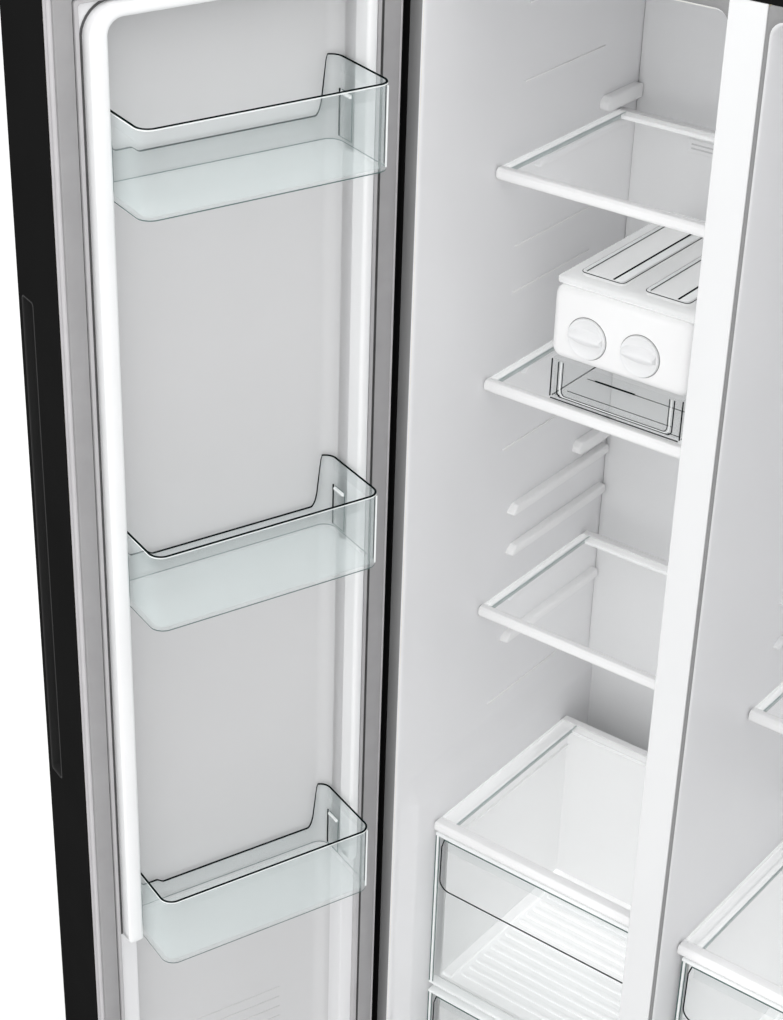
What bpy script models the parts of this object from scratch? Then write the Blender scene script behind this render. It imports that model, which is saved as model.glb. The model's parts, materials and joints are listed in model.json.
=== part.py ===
"""A side by side refrigerator, modelled in metres with +Z up.

The doors stand open at rest. The cabinet's own frame has X = 0 at the middle of its width,
Y = 0 at the front flange that the doors close against, and Z = 0 at the floor. The root empty
shifts that frame so that the origin is under the middle of the whole object.
"""

import math

import bmesh
import bpy
from mathutils import Matrix, Vector

# Cabinet
CABINET_WIDTH = 0.910
CABINET_DEPTH = 0.537
CABINET_TOP = 1.770
CABINET_BOTTOM = 0.030
SHEET = 0.001
FLANGE_RETURN = 0.024
GAP = 0.0003

# Compartments
WALL = 0.0015
OPENING_TOP = 1.736
OPENING_BOTTOM = 0.100
FREEZER_LEFT = -0.414
FREEZER_RIGHT = -0.0864
FRIDGE_LEFT = -0.0435
FRIDGE_RIGHT = 0.414
LIP_SIDE = 0.4307
LIP_TOP = OPENING_TOP + 0.0162
LIP_BOTTOM = OPENING_BOTTOM - 0.0164
COMPARTMENT_BACK = 0.484
STEP_FRONT = 0.285
STEP_TOP = 0.290
MACHINE_ROOM_TOP = 0.238
MULLION_LEFT = FREEZER_RIGHT
MULLION_RIGHT = -0.0486

# Doors
DOOR_THICKNESS = 0.097
DOOR_INNER_FACE = -0.0085
DOOR_BOTTOM = 0.066
DOOR_TOP = 1.766
DOOR_EDGE_INSET = 0.001
DOOR_SEAM = -0.0674
SEAM_GAP = 0.007
PIN_FROM_SIDE = 0.0125
PIN_Y = -0.022
PIN_RADIUS = 0.004
PIN_HOLE_RADIUS = 0.0043
FREEZER_DOOR_OPEN = math.radians(110.0)
FRIDGE_DOOR_OPEN = math.radians(103.0)
GASKET_FACE = -0.0012
GASKET_SIDE_WIDTH = 0.030
GASKET_END_WIDTH = 0.026
PAN_FROM_HINGE = 0.0525
PAN_FROM_FREE = 0.056
PAN_BOTTOM = 0.135
PAN_TOP = 1.7225
PAN_DEPTH = 0.040
DYKE_AT_HINGE = 0.012
DYKE_AT_FREE = 0.018
DYKE_AT_TOP = 0.012
DYKE_HEIGHT = 0.018
DYKE_BOTTOM = 0.656
GRIP_BOTTOM = 0.851
GRIP_TOP = 1.428
GRIP_NEAR = 0.012
GRIP_FAR = 0.037
GRIP_DEPTH = 0.022

# Door bins
BIN_FROM_HINGE = 0.054
BIN_FROM_FREE = 0.060
BIN_REACH = 0.106
BIN_STANDOFF = 0.002
BIN_HEIGHT = 0.090
BIN_WALL = 0.0025
FREEZER_BIN_BOTTOMS = (1.544, 1.095, 0.648)
FRIDGE_BIN_BOTTOMS = (1.500, 1.110, 0.720)

# Shelves and drawers
GLASS = 0.004
SHELF_SIDE_GAP = 0.002
FREEZER_SHELVES = ((1.4725, 0.139), (1.220, 0.138), (0.910, 0.153))
FREEZER_SHELF_BACK = 0.392
FRIDGE_SHELVES = ((1.340, 0.138), (0.935, 0.138))
FRIDGE_SHELF_BACK = 0.440
FREEZER_COVER_TOP = 0.6435
FREEZER_COVER_FRONT = 0.064
FRIDGE_COVER_TOP = 0.668
FRIDGE_COVER_FRONT = 0.036
DRAWER_WALL = 0.0025
DRAWER_TRAVEL = 0.200
LOWER_DRAWER_TOP = 0.372
SPARE_RAILS = (1.027, 0.970)
RAIL_WIDTH = 0.007
RAIL_HEIGHT = 0.009

# Ice maker
ICE_LEFT = -0.335
ICE_RIGHT = -0.1636
ICE_FRONT = 0.1468
ICE_BACK = 0.384
ICE_BOTTOM = 1.2725
ICE_TOP = 1.358
KNOB_CENTRES = (-0.2888, -0.2228)
KNOB_HEIGHT = 1.306
KNOB_RADIUS = 0.0235
TRAY_HALF_WIDTH = 0.027

# Machine room and evaporator
FOOT_RADIUS = 0.018
ROLLER_RADIUS = 0.0145
ROLLER_Y = 0.490
ROLLER_X = 0.380
COMPRESSOR_X = 0.240
COMPRESSOR_Y = 0.415
COND_FAN_X = 0.060
COND_FAN_Z = 0.125
DUCT_FRONT = 0.420
VENT_HEIGHTS = (1.432, 0.450)
EVAP_FAN_Z = 1.330
SHAFT_RADIUS = 0.003
SHAFT_BORE = 0.0032

ROUND = 24


def clear_scene():
    for obj in list(bpy.data.objects):
        bpy.data.objects.remove(obj)


def material(name, colour, roughness, metallic=0.0, alpha=1.0):
    made = bpy.data.materials.new(name)
    made.use_nodes = True
    shader = made.node_tree.nodes["Principled BSDF"]
    shader.inputs["Base Color"].default_value = (*colour, 1.0)
    shader.inputs["Roughness"].default_value = roughness
    shader.inputs["Metallic"].default_value = metallic
    shader.inputs["Alpha"].default_value = alpha
    return made


def add_block(bm, low, high):
    """A cuboid between two corners."""
    centre = (Vector(low) + Vector(high)) / 2
    size = Vector(high) - Vector(low)
    place = Matrix.Translation(centre) @ Matrix.Diagonal((*size, 1.0))
    bmesh.ops.create_cube(bm, size=1.0, matrix=place)


def add_prism(bm, outline, axis, start, end):
    """An outline of (a, b) points pushed from start to end along an axis."""
    make = {
        "X": lambda a, b, t: (t, a, b),
        "Y": lambda a, b, t: (a, t, b),
        "Z": lambda a, b, t: (a, b, t),
    }[axis]
    near = [bm.verts.new(make(a, b, start)) for a, b in outline]
    far = [bm.verts.new(make(a, b, end)) for a, b in outline]
    bm.faces.new(near)
    bm.faces.new(far)
    for i in range(len(outline)):
        j = (i + 1) % len(outline)
        bm.faces.new((near[i], near[j], far[j], far[i]))
    bmesh.ops.recalc_face_normals(bm, faces=bm.faces[:])


def add_turned(bm, profile, centre, axis, steps=ROUND):
    """A profile of (radius, along) points, closed on itself or on the axis, turned round an axis."""
    turn = {
        "X": Matrix.Rotation(math.pi / 2, 4, "Y"),
        "Y": Matrix.Rotation(-math.pi / 2, 4, "X"),
        "Z": Matrix.Identity(4),
    }[axis]
    place = Matrix.Translation(centre) @ turn
    rings = []
    for radius, along in profile:
        if radius < 1e-6:
            rings.append([bm.verts.new(place @ Vector((0, 0, along)))])
            continue
        ring = []
        for i in range(steps):
            angle = 2 * math.pi * i / steps
            point = Vector((radius * math.cos(angle), radius * math.sin(angle), along))
            ring.append(bm.verts.new(place @ point))
        rings.append(ring)
    closed = len(rings[0]) > 1 and len(rings[-1]) > 1
    pairs = list(zip(rings, rings[1:])) + ([(rings[-1], rings[0])] if closed else [])
    for first, second in pairs:
        for i in range(steps):
            j = (i + 1) % steps
            corners = [first[i % len(first)], first[j % len(first)]]
            corners += [second[j % len(second)], second[i % len(second)]]
            unique = list(dict.fromkeys(corners))
            if len(unique) > 2:
                bm.faces.new(unique)
    bmesh.ops.recalc_face_normals(bm, faces=bm.faces[:])


def rounded_rectangle(low_a, high_a, low_b, high_b, radius, steps=3):
    """Points round a rectangle whose corners are arcs."""
    points = []
    centres = (
        (high_a - radius, high_b - radius, 0),
        (low_a + radius, high_b - radius, 90),
        (low_a + radius, low_b + radius, 180),
        (high_a - radius, low_b + radius, 270),
    )
    for centre_a, centre_b, start in centres:
        for i in range(steps + 1):
            angle = math.radians(start + 90 * i / steps)
            points.append((centre_a + radius * math.cos(angle), centre_b + radius * math.sin(angle)))
    return points


def add_tray(bm, low, high, wall, floor, radius):
    """An open-topped box with round upright corners."""
    outer = rounded_rectangle(low[0], high[0], low[1], high[1], radius)
    inner = rounded_rectangle(
        low[0] + wall, high[0] - wall, low[1] + wall, high[1] - wall, max(radius - wall, 0.001)
    )
    loops = []
    for outline, height in (
        (outer, low[2]),
        (outer, high[2]),
        (inner, high[2]),
        (inner, low[2] + floor),
    ):
        loops.append([bm.verts.new((a, b, height)) for a, b in outline])
    for first, second in zip(loops, loops[1:]):
        for i in range(len(first)):
            j = (i + 1) % len(first)
            bm.faces.new((first[i], first[j], second[j], second[i]))
    bm.faces.new(loops[0])
    bm.faces.new(loops[-1])
    bmesh.ops.recalc_face_normals(bm, faces=bm.faces[:])


def add_ring(bm, outer, inner, start, end):
    """A flat rectangular ring in the XZ plane: outer and inner are (x0, x1, z0, z1)."""
    corners = []
    for depth in (start, end):
        for x0, x1, z0, z1 in (outer, inner):
            flat = ((x0, z0), (x1, z0), (x1, z1), (x0, z1))
            corners.append([bm.verts.new((x, depth, z)) for x, z in flat])
    outer_near, inner_near, outer_far, inner_far = corners
    for first, second in (
        (outer_near, inner_near),
        (inner_near, inner_far),
        (inner_far, outer_far),
        (outer_far, outer_near),
    ):
        for i in range(4):
            j = (i + 1) % 4
            bm.faces.new((first[i], first[j], second[j], second[i]))
    bmesh.ops.recalc_face_normals(bm, faces=bm.faces[:])


def to_object(name, bm, finish, parent):
    """Turns a bmesh into an object whose mesh is given in the parent's rest frame."""
    mesh = bpy.data.meshes.new(name)
    bm.to_mesh(mesh)
    bm.free()
    obj = bpy.data.objects.new(name, mesh)
    bpy.context.scene.collection.objects.link(obj)
    obj.parent = parent
    if finish:
        mesh.materials.append(finish)
    mesh.shade_smooth()
    mesh.set_sharp_from_angle(angle=math.radians(30))
    return obj


def build(name, finish, parent, *steps):
    """A named object made by adding shapes one after another to one mesh."""
    bm = bmesh.new()
    for add, *values in steps:
        add(bm, *values)
    return to_object(name, bm, finish, parent)


def combine(target, operation, label, *steps):
    """Cuts a hidden helper shape from the target, or joins it on."""
    helper = build(f"{target.name}_{label}", None, target.parent, *steps)
    helper.hide_render = True
    helper.display_type = "WIRE"
    modifier = target.modifiers.new(label, "BOOLEAN")
    modifier.operation = operation
    modifier.solver = "EXACT"
    modifier.object = helper
    return helper


def cut(target, label, *steps):
    return combine(target, "DIFFERENCE", label, *steps)


def join(target, label, *steps):
    return combine(target, "UNION", label, *steps)


def empty(name, place, parent=None, turn=0.0):
    made = bpy.data.objects.new(name, None)
    made.empty_display_size = 0.05
    bpy.context.scene.collection.objects.link(made)
    made.location = place
    made.rotation_euler = (0, 0, turn)
    made.parent = parent
    return made


class Door:
    """The dimensions of one door, in the closed position. side is -1 on the left, +1 on the right."""

    def __init__(self, side, opening):
        self.side = side
        self.hinge_edge = side * (CABINET_WIDTH / 2 - DOOR_EDGE_INSET)
        self.free_edge = DOOR_SEAM + side * SEAM_GAP / 2
        self.width = abs(self.free_edge - self.hinge_edge)
        self.pin_x = side * (CABINET_WIDTH / 2 - PIN_FROM_SIDE)
        self.turn = side * opening
        self.outer_face = DOOR_INNER_FACE - DOOR_THICKNESS

    def along(self, distance):
        """X at a distance from the hinge edge."""
        return self.hinge_edge - self.side * distance

    def span(self, start, end):
        """Sorted X values between two distances from the hinge edge."""
        return sorted((self.along(start), self.along(end)))

    def opened(self, x, y):
        """Where a closed-door point stands once the door is open."""
        reach = Vector((x - self.pin_x, y - PIN_Y, 0.0))
        return Vector((self.pin_x, PIN_Y, 0.0)) + Matrix.Rotation(self.turn, 3, "Z") @ reach


FREEZER_DOOR = Door(-1, FREEZER_DOOR_OPEN)
FRIDGE_DOOR = Door(1, FRIDGE_DOOR_OPEN)


def resting_centre():
    """The middle of the whole object's outline on the floor with both doors open."""
    corners = []
    for door in (FREEZER_DOOR, FRIDGE_DOOR):
        for x in (door.hinge_edge, door.free_edge):
            for y in (door.outer_face, DOOR_INNER_FACE):
                corners.append(door.opened(x, y))
    lows = [min(c[i] for c in corners) for i in (0, 1)]
    high_x = max(c[0] for c in corners)
    return ((lows[0] + high_x) / 2, (lows[1] + CABINET_DEPTH) / 2)


def make_cabinet(root, looks):
    half = CABINET_WIDTH / 2
    shell = build(
        "cabinet_shell",
        looks["black"],
        root,
        (add_block, (-half, 0, CABINET_BOTTOM), (half, CABINET_DEPTH, CABINET_TOP)),
    )
    cut(
        shell,
        "hollow",
        (add_block, (-half + SHEET, SHEET, -0.1), (half - SHEET, 1.0, CABINET_TOP - SHEET)),
    )
    inner = half - FLANGE_RETURN
    cut(shell, "front", (add_block, (-inner, -0.1, -0.2), (inner, 0.1, LIP_TOP + GAP)))

    side = half - SHEET - 0.0005
    build(
        "back_panel",
        looks["steel"],
        root,
        (
            add_block,
            (-side, CABINET_DEPTH - SHEET, MACHINE_ROOM_TOP + 0.001),
            (side, CABINET_DEPTH, CABINET_TOP - SHEET - 0.0005),
        ),
    )
    make_foam(root, looks, side)
    build(
        "mullion_cover",
        looks["white"],
        root,
        (add_block, (MULLION_LEFT, 0, LIP_BOTTOM), (MULLION_RIGHT, WALL, LIP_TOP)),
    )
    kick = build(
        "kick_plate",
        looks["black"],
        root,
        (add_block, (-0.398, -0.018, 0.008), (0.398, -GAP, 0.054)),
    )
    slots = [
        (add_block, (-0.36 + 0.06 * i, -0.1, 0.024), (-0.315 + 0.06 * i, 0.1, 0.034))
        for i in range(13)
    ]
    cut(kick, "slots", *slots)


def liner_profile(back, grow=0.0):
    """A compartment's side outline as (y, z) points, with the step over the machine room."""
    top = OPENING_TOP + grow
    bottom = OPENING_BOTTOM - grow
    return [
        (-0.1, bottom),
        (STEP_FRONT + grow, bottom),
        (STEP_FRONT + grow, STEP_TOP - grow),
        (back + grow, STEP_TOP - grow),
        (back + grow, top),
        (-0.1, top),
    ]


def clipped_front(outline, front):
    return [(max(y, front), z) for y, z in outline]


def make_foam(root, looks, side):
    front = WALL + 2 * GAP + 0.0002
    back = CABINET_DEPTH - SHEET - GAP
    floor = CABINET_BOTTOM + WALL + 0.001
    room = STEP_FRONT + 0.004
    outline = [
        (front, floor),
        (room, floor),
        (room, MACHINE_ROOM_TOP),
        (back, MACHINE_ROOM_TOP),
        (back, CABINET_TOP - SHEET - GAP),
        (front, CABINET_TOP - SHEET - GAP),
    ]
    foam = build("cabinet_foam", looks["foam"], root, (add_prism, outline, "X", -side, side))
    grow = WALL + GAP
    hollow = liner_profile(COMPARTMENT_BACK, grow)
    cut(foam, "freezer", (add_prism, hollow, "X", FREEZER_LEFT - grow, FREEZER_RIGHT + grow))
    cut(foam, "fridge", (add_prism, hollow, "X", FRIDGE_LEFT - grow, FRIDGE_RIGHT + grow))


def rail_steps(left, right, heights, front, back):
    """Moulded rails on both side walls; heights are their top faces."""
    steps = []
    for top in heights:
        steps.append((add_block, (left - 0.001, front, top - RAIL_HEIGHT), (left + RAIL_WIDTH, back, top)))
        steps.append((add_block, (right - RAIL_WIDTH, front, top - RAIL_HEIGHT), (right + 0.001, back, top)))
    return steps


def make_liner(name, root, finish, left, right, lip_left, lip_right, rails):
    outer = clipped_front(liner_profile(COMPARTMENT_BACK, WALL), 0.0)
    liner = build(name, finish, root, (add_prism, outer, "X", left - WALL, right + WALL))
    join(liner, "lip", (add_block, (lip_left, 0, LIP_BOTTOM), (lip_right, WALL, LIP_TOP)))
    cut(liner, "hollow", (add_prism, liner_profile(COMPARTMENT_BACK), "X", left, right))
    for number, (heights, front, back) in enumerate(rails):
        join(liner, f"rails_{number}", *rail_steps(left, right, heights, front, back))
    return liner


def make_liners(root, looks):
    shelf_rails = [top - 0.0133 for top, _ in FREEZER_SHELVES]
    freezer = make_liner(
        "freezer_liner",
        root,
        looks["grey_white"],
        FREEZER_LEFT,
        FREEZER_RIGHT,
        -LIP_SIDE,
        FREEZER_RIGHT + WALL,
        [(shelf_rails, 0.215, 0.400), (SPARE_RAILS, 0.205, 0.400)],
    )
    cut(
        freezer,
        "mullion_seat",
        (add_block, (FREEZER_RIGHT - GAP, -0.1, 0), (FREEZER_RIGHT + 0.05, WALL + GAP, 2)),
    )
    drawer_wall = FREEZER_LEFT + 0.012
    pad = [
        (FREEZER_LEFT - 0.0005, 0.0105),
        (FREEZER_LEFT, 0.0105),
        (drawer_wall, 0.032),
        (drawer_wall, STEP_FRONT - 0.0005),
        (FREEZER_LEFT - 0.0005, STEP_FRONT - 0.0005),
    ]
    join(freezer, "drawer_pad", (add_prism, pad, "Z", OPENING_BOTTOM - 0.0005, 0.690))
    drawer_rails = (FREEZER_COVER_TOP - 0.0133, LOWER_DRAWER_TOP + 0.0105)
    join(
        freezer,
        "drawer_rails",
        *rail_steps(drawer_wall, FREEZER_RIGHT, drawer_rails, 0.100, 0.2845),
    )

    fridge_rails = [top - 0.0133 for top, _ in FRIDGE_SHELVES]
    low_rails = (FRIDGE_COVER_TOP - 0.0133, LOWER_DRAWER_TOP + 0.0105)
    make_liner(
        "fridge_liner",
        root,
        looks["grey_white"],
        FRIDGE_LEFT,
        FRIDGE_RIGHT,
        MULLION_RIGHT + GAP,
        LIP_SIDE,
        [(fridge_rails, 0.180, 0.425), (low_rails, 0.080, 0.280)],
    )


def shelf_outline(front, back, top):
    """A shelf's side outline: a glass pane held in a thick front bar and a back bar."""
    bar = 0.013
    return [
        (front, top - bar),
        (front + 0.012, top - bar),
        (front + 0.018, top - GLASS - 0.002),
        (back - 0.016, top - GLASS - 0.002),
        (back - 0.012, top - 0.011),
        (back, top - 0.011),
        (back, top),
        (front, top),
    ]


def make_shelf(name, root, looks, left, right, front, back, top):
    outline = shelf_outline(front, back, top)
    build(name, looks["glass"], root, (add_prism, outline, "X", left, right))


def make_shelves(root, looks):
    left = FREEZER_LEFT + SHELF_SIDE_GAP
    right = FREEZER_RIGHT - SHELF_SIDE_GAP
    for number, (top, front) in enumerate(FREEZER_SHELVES, 1):
        name = f"freezer_shelf_{number}"
        make_shelf(name, root, looks, left, right, front, FREEZER_SHELF_BACK, top)
    make_shelf(
        "freezer_drawer_cover",
        root,
        looks,
        FREEZER_LEFT + 0.012 + SHELF_SIDE_GAP,
        right,
        FREEZER_COVER_FRONT,
        0.360,
        FREEZER_COVER_TOP,
    )
    left = FRIDGE_LEFT + SHELF_SIDE_GAP
    right = FRIDGE_RIGHT - SHELF_SIDE_GAP
    for number, (top, front) in enumerate(FRIDGE_SHELVES, 1):
        name = f"fridge_shelf_{number}"
        make_shelf(name, root, looks, left, right, front, FRIDGE_SHELF_BACK, top)
    make_shelf(
        "crisper_cover",
        root,
        looks,
        left,
        right,
        FRIDGE_COVER_FRONT,
        0.360,
        FRIDGE_COVER_TOP,
    )


def front_panel_steps(left, right, front, bottom, top):
    """A drawer front and the finger pocket cut into its face."""
    panel = (add_block, (left, front, bottom), (right, front + 0.016, top))
    pocket = (
        add_block,
        (left + 0.010, front - 0.01, top - 0.105),
        (right - 0.010, front + 0.012, top - 0.006),
    )
    return panel, pocket


def make_freezer_drawers(root, looks):
    left = FREEZER_LEFT + 0.012 + 0.0085
    right = FREEZER_RIGHT - 0.0085
    front = FREEZER_COVER_FRONT
    levels = (
        ("upper", LOWER_DRAWER_TOP + 0.0115, FREEZER_COVER_TOP - 0.0145, 0.355),
        ("lower", OPENING_BOTTOM + 0.002, LOWER_DRAWER_TOP, 0.280),
    )
    for label, bottom, top, back in levels:
        slide = empty(f"freezer_drawer_{label}_slide", (0, front, bottom), root)
        slide_root = empty(f"freezer_drawer_{label}_frame", (0, -front, -bottom), slide)
        panel, pocket = front_panel_steps(left - 0.004, right + 0.004, front, bottom, top)
        face = build(f"freezer_drawer_{label}_front", looks["clear"], slide_root, panel)
        cut(face, "pocket", pocket)
        body_top = top - 0.004
        build(
            f"freezer_drawer_{label}",
            looks["white"],
            slide_root,
            (
                add_tray,
                (left, front + 0.016 + GAP, bottom),
                (right, back, body_top),
                DRAWER_WALL,
                DRAWER_WALL,
                0.004,
            ),
        )


def make_crispers(root, looks):
    left = FRIDGE_LEFT + 0.0085
    right = FRIDGE_RIGHT - 0.0085
    front = FRIDGE_COVER_FRONT
    levels = (
        ("upper", LOWER_DRAWER_TOP + 0.0115, FRIDGE_COVER_TOP - 0.0145, 0.355),
        ("lower", OPENING_BOTTOM + 0.002, LOWER_DRAWER_TOP, 0.280),
    )
    for label, bottom, top, back in levels:
        slide = empty(f"crisper_{label}_slide", (0, front, bottom), root)
        slide_root = empty(f"crisper_{label}_frame", (0, -front, -bottom), slide)
        panel, pocket = front_panel_steps(left, right, front, bottom, top)
        tray = build(
            f"crisper_{label}",
            looks["clear"],
            slide_root,
            (
                add_tray,
                (left, front + 0.010, bottom),
                (right, back, top - 0.004),
                DRAWER_WALL,
                DRAWER_WALL,
                0.004,
            ),
        )
        join(tray, "panel", panel)
        cut(tray, "pocket", pocket)


def make_ice_maker(root, looks):
    housing = build(
        "ice_maker_housing",
        looks["white"],
        root,
        (add_block, (ICE_LEFT, ICE_FRONT, ICE_BOTTOM), (ICE_RIGHT, ICE_BACK, ICE_TOP)),
    )
    shelf_top = FREEZER_SHELVES[1][0] + GAP
    join(
        housing,
        "legs",
        (add_block, (ICE_LEFT, 0.350, shelf_top), (ICE_RIGHT, ICE_BACK, ICE_BOTTOM + 0.01)),
    )
    cut(
        housing,
        "hollow",
        (
            add_block,
            (ICE_LEFT + 0.003, ICE_FRONT + 0.004, 1.0),
            (ICE_RIGHT - 0.003, ICE_BACK - 0.003, 1.5),
        ),
    )
    holes = [
        (add_turned, [(0, -0.02), (0.0085, -0.02), (0.0085, 0.02), (0, 0.02)], (x, ICE_FRONT, KNOB_HEIGHT), "Y")
        for x in KNOB_CENTRES
    ]
    cut(housing, "shaft_holes", *holes)

    lid = build(
        "ice_maker_lid",
        looks["clear"],
        root,
        (
            add_block,
            (ICE_LEFT + 0.0005, ICE_FRONT + 0.004, ICE_TOP + GAP),
            (ICE_RIGHT - 0.0005, ICE_BACK, ICE_TOP + 0.014),
        ),
    )
    cut(
        lid,
        "hollow",
        (
            add_block,
            (ICE_LEFT + 0.003, ICE_FRONT + 0.0065, ICE_TOP - 0.05),
            (ICE_RIGHT - 0.003, ICE_BACK - 0.0025, ICE_TOP + 0.012),
        ),
    )

    for label, x in zip(("left", "right"), KNOB_CENTRES):
        axis = empty(f"ice_tray_{label}_axis", (x, ICE_FRONT, KNOB_HEIGHT), root)
        knob = [
            (0, -0.009),
            (KNOB_RADIUS - 0.002, -0.009),
            (KNOB_RADIUS, -0.007),
            (KNOB_RADIUS, -GAP),
            (0.008, -GAP),
            (0.008, 0.012),
            (0, 0.012),
        ]
        tray = build(f"ice_tray_{label}", looks["white"], axis, (add_turned, knob, (0, 0, 0), "Y", 20))
        join(
            tray,
            "body",
            (add_block, (-TRAY_HALF_WIDTH, 0.0115, -0.011), (TRAY_HALF_WIDTH, 0.215, 0.011)),
        )
        cells = []
        for row in range(5):
            for side in (-1, 1):
                middle = side * TRAY_HALF_WIDTH / 2
                start = 0.016 + row * 0.0395
                low = (middle - 0.011, start, -0.0085)
                cells.append((add_block, low, (middle + 0.011, start + 0.036, 0.05)))
        cut(tray, "cells", *cells)

    slide = empty("ice_bin_slide", (0, ICE_FRONT, shelf_top), root)
    slide_root = empty("ice_bin_frame", (0, -ICE_FRONT, -shelf_top), slide)
    build(
        "ice_bin",
        looks["clear"],
        slide_root,
        (
            add_tray,
            (ICE_LEFT + 0.003, ICE_FRONT + 0.0007, shelf_top + GAP),
            (ICE_RIGHT - 0.003, 0.3495, ICE_BOTTOM - 0.0025),
            0.0022,
            0.0022,
            0.008,
        ),
    )


def fan_outline(blades, hub, tip):
    """A paddle-bladed rotor seen along its axis."""
    points = []
    for blade in range(blades):
        start = 2 * math.pi * blade / blades
        for turn, radius in ((0.0, hub), (0.10, tip), (0.62, tip), (0.95, hub)):
            angle = start + turn * 2 * math.pi / blades
            points.append((radius * math.cos(angle), radius * math.sin(angle)))
    return points


def make_fan(name, root, finish, centre, axis):
    """A rotor in its own frame; the empty sits on the shaft."""
    pivot = empty(f"{name}_axis", centre, root)
    outline = fan_outline(5, 0.014, 0.044)
    rotor = build(name, finish, pivot, (add_prism, outline, axis, -0.006, 0.006))
    bore = [(0, -0.02), (SHAFT_BORE, -0.02), (SHAFT_BORE, 0.02), (0, 0.02)]
    cut(rotor, "bore", (add_turned, bore, (0, 0, 0), axis, 12))


def make_air_parts(root, looks):
    panel = build(
        "freezer_duct_panel",
        looks["grey_white"],
        root,
        (
            add_block,
            (FREEZER_LEFT + 0.001, DUCT_FRONT, STEP_TOP + 0.006),
            (FREEZER_RIGHT - 0.001, DUCT_FRONT + 0.003, OPENING_TOP - 0.002),
        ),
    )
    middle = (FREEZER_LEFT + FREEZER_RIGHT) / 2
    motor = [(0, 0.001), (0.016, 0.001), (0.016, 0.012), (SHAFT_RADIUS, 0.012), (SHAFT_RADIUS, 0.036), (0, 0.036)]
    join(panel, "fan_motor", (add_turned, motor, (middle, DUCT_FRONT + 0.001, EVAP_FAN_Z), "Y", 16))
    vents = []
    for height in VENT_HEIGHTS:
        for side in (-1, 1):
            centre = middle + side * 0.075
            vents.append((add_block, (centre - 0.03, 0.3, height), (centre + 0.03, 0.5, height + 0.008)))
    cut(panel, "vents", *vents)
    make_fan("evaporator_fan", root, looks["dark"], (middle, DUCT_FRONT + 0.0285, EVAP_FAN_Z), "Y")

    fins = [(0.430, 0.780)]
    for i in range(12):
        base = 0.780 + i * 0.030
        fins += [(0.474, base), (0.474, base + 0.012), (0.446, base + 0.012), (0.446, base + 0.030)]
    fins[-1] = (0.446, fins[-2][1])
    fins = fins[:-1] + [(0.430, fins[-2][1])]
    build("evaporator", looks["aluminium"], root, (add_prism, fins, "X", FREEZER_LEFT + 0.03, FREEZER_RIGHT - 0.03))

    fridge_panel = build(
        "fridge_duct_panel",
        looks["grey_white"],
        root,
        (add_block, (0.105, 0.462, 0.420), (0.265, 0.4835, 1.720)),
    )
    ports = [
        (add_block, (0.125 + 0.08 * side, 0.45, height), (0.165 + 0.08 * side, 0.475, height + 0.016))
        for height in (0.80, 1.10, 1.45)
        for side in (0, 1)
    ]
    cut(fridge_panel, "ports", *ports)


def serpentine(runs, length, pitch, start):
    """Points of a flat coil: straight runs joined by half-round bends, in the XZ plane."""
    points = []
    for run in range(runs):
        height = start[2] + run * pitch
        ends = [start[0], start[0] + length]
        if run % 2:
            ends.reverse()
        points += [(ends[0], start[1], height), (ends[1], start[1], height)]
        if run == runs - 1:
            break
        outward = 1 if ends[1] > start[0] + length / 2 else -1
        for i in range(1, 5):
            angle = -math.pi / 2 + math.pi * i / 5
            x = ends[1] + outward * math.cos(angle) * pitch / 2
            points.append((x, start[1], height + pitch / 2 + math.sin(angle) * pitch / 2))
    return points


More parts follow.
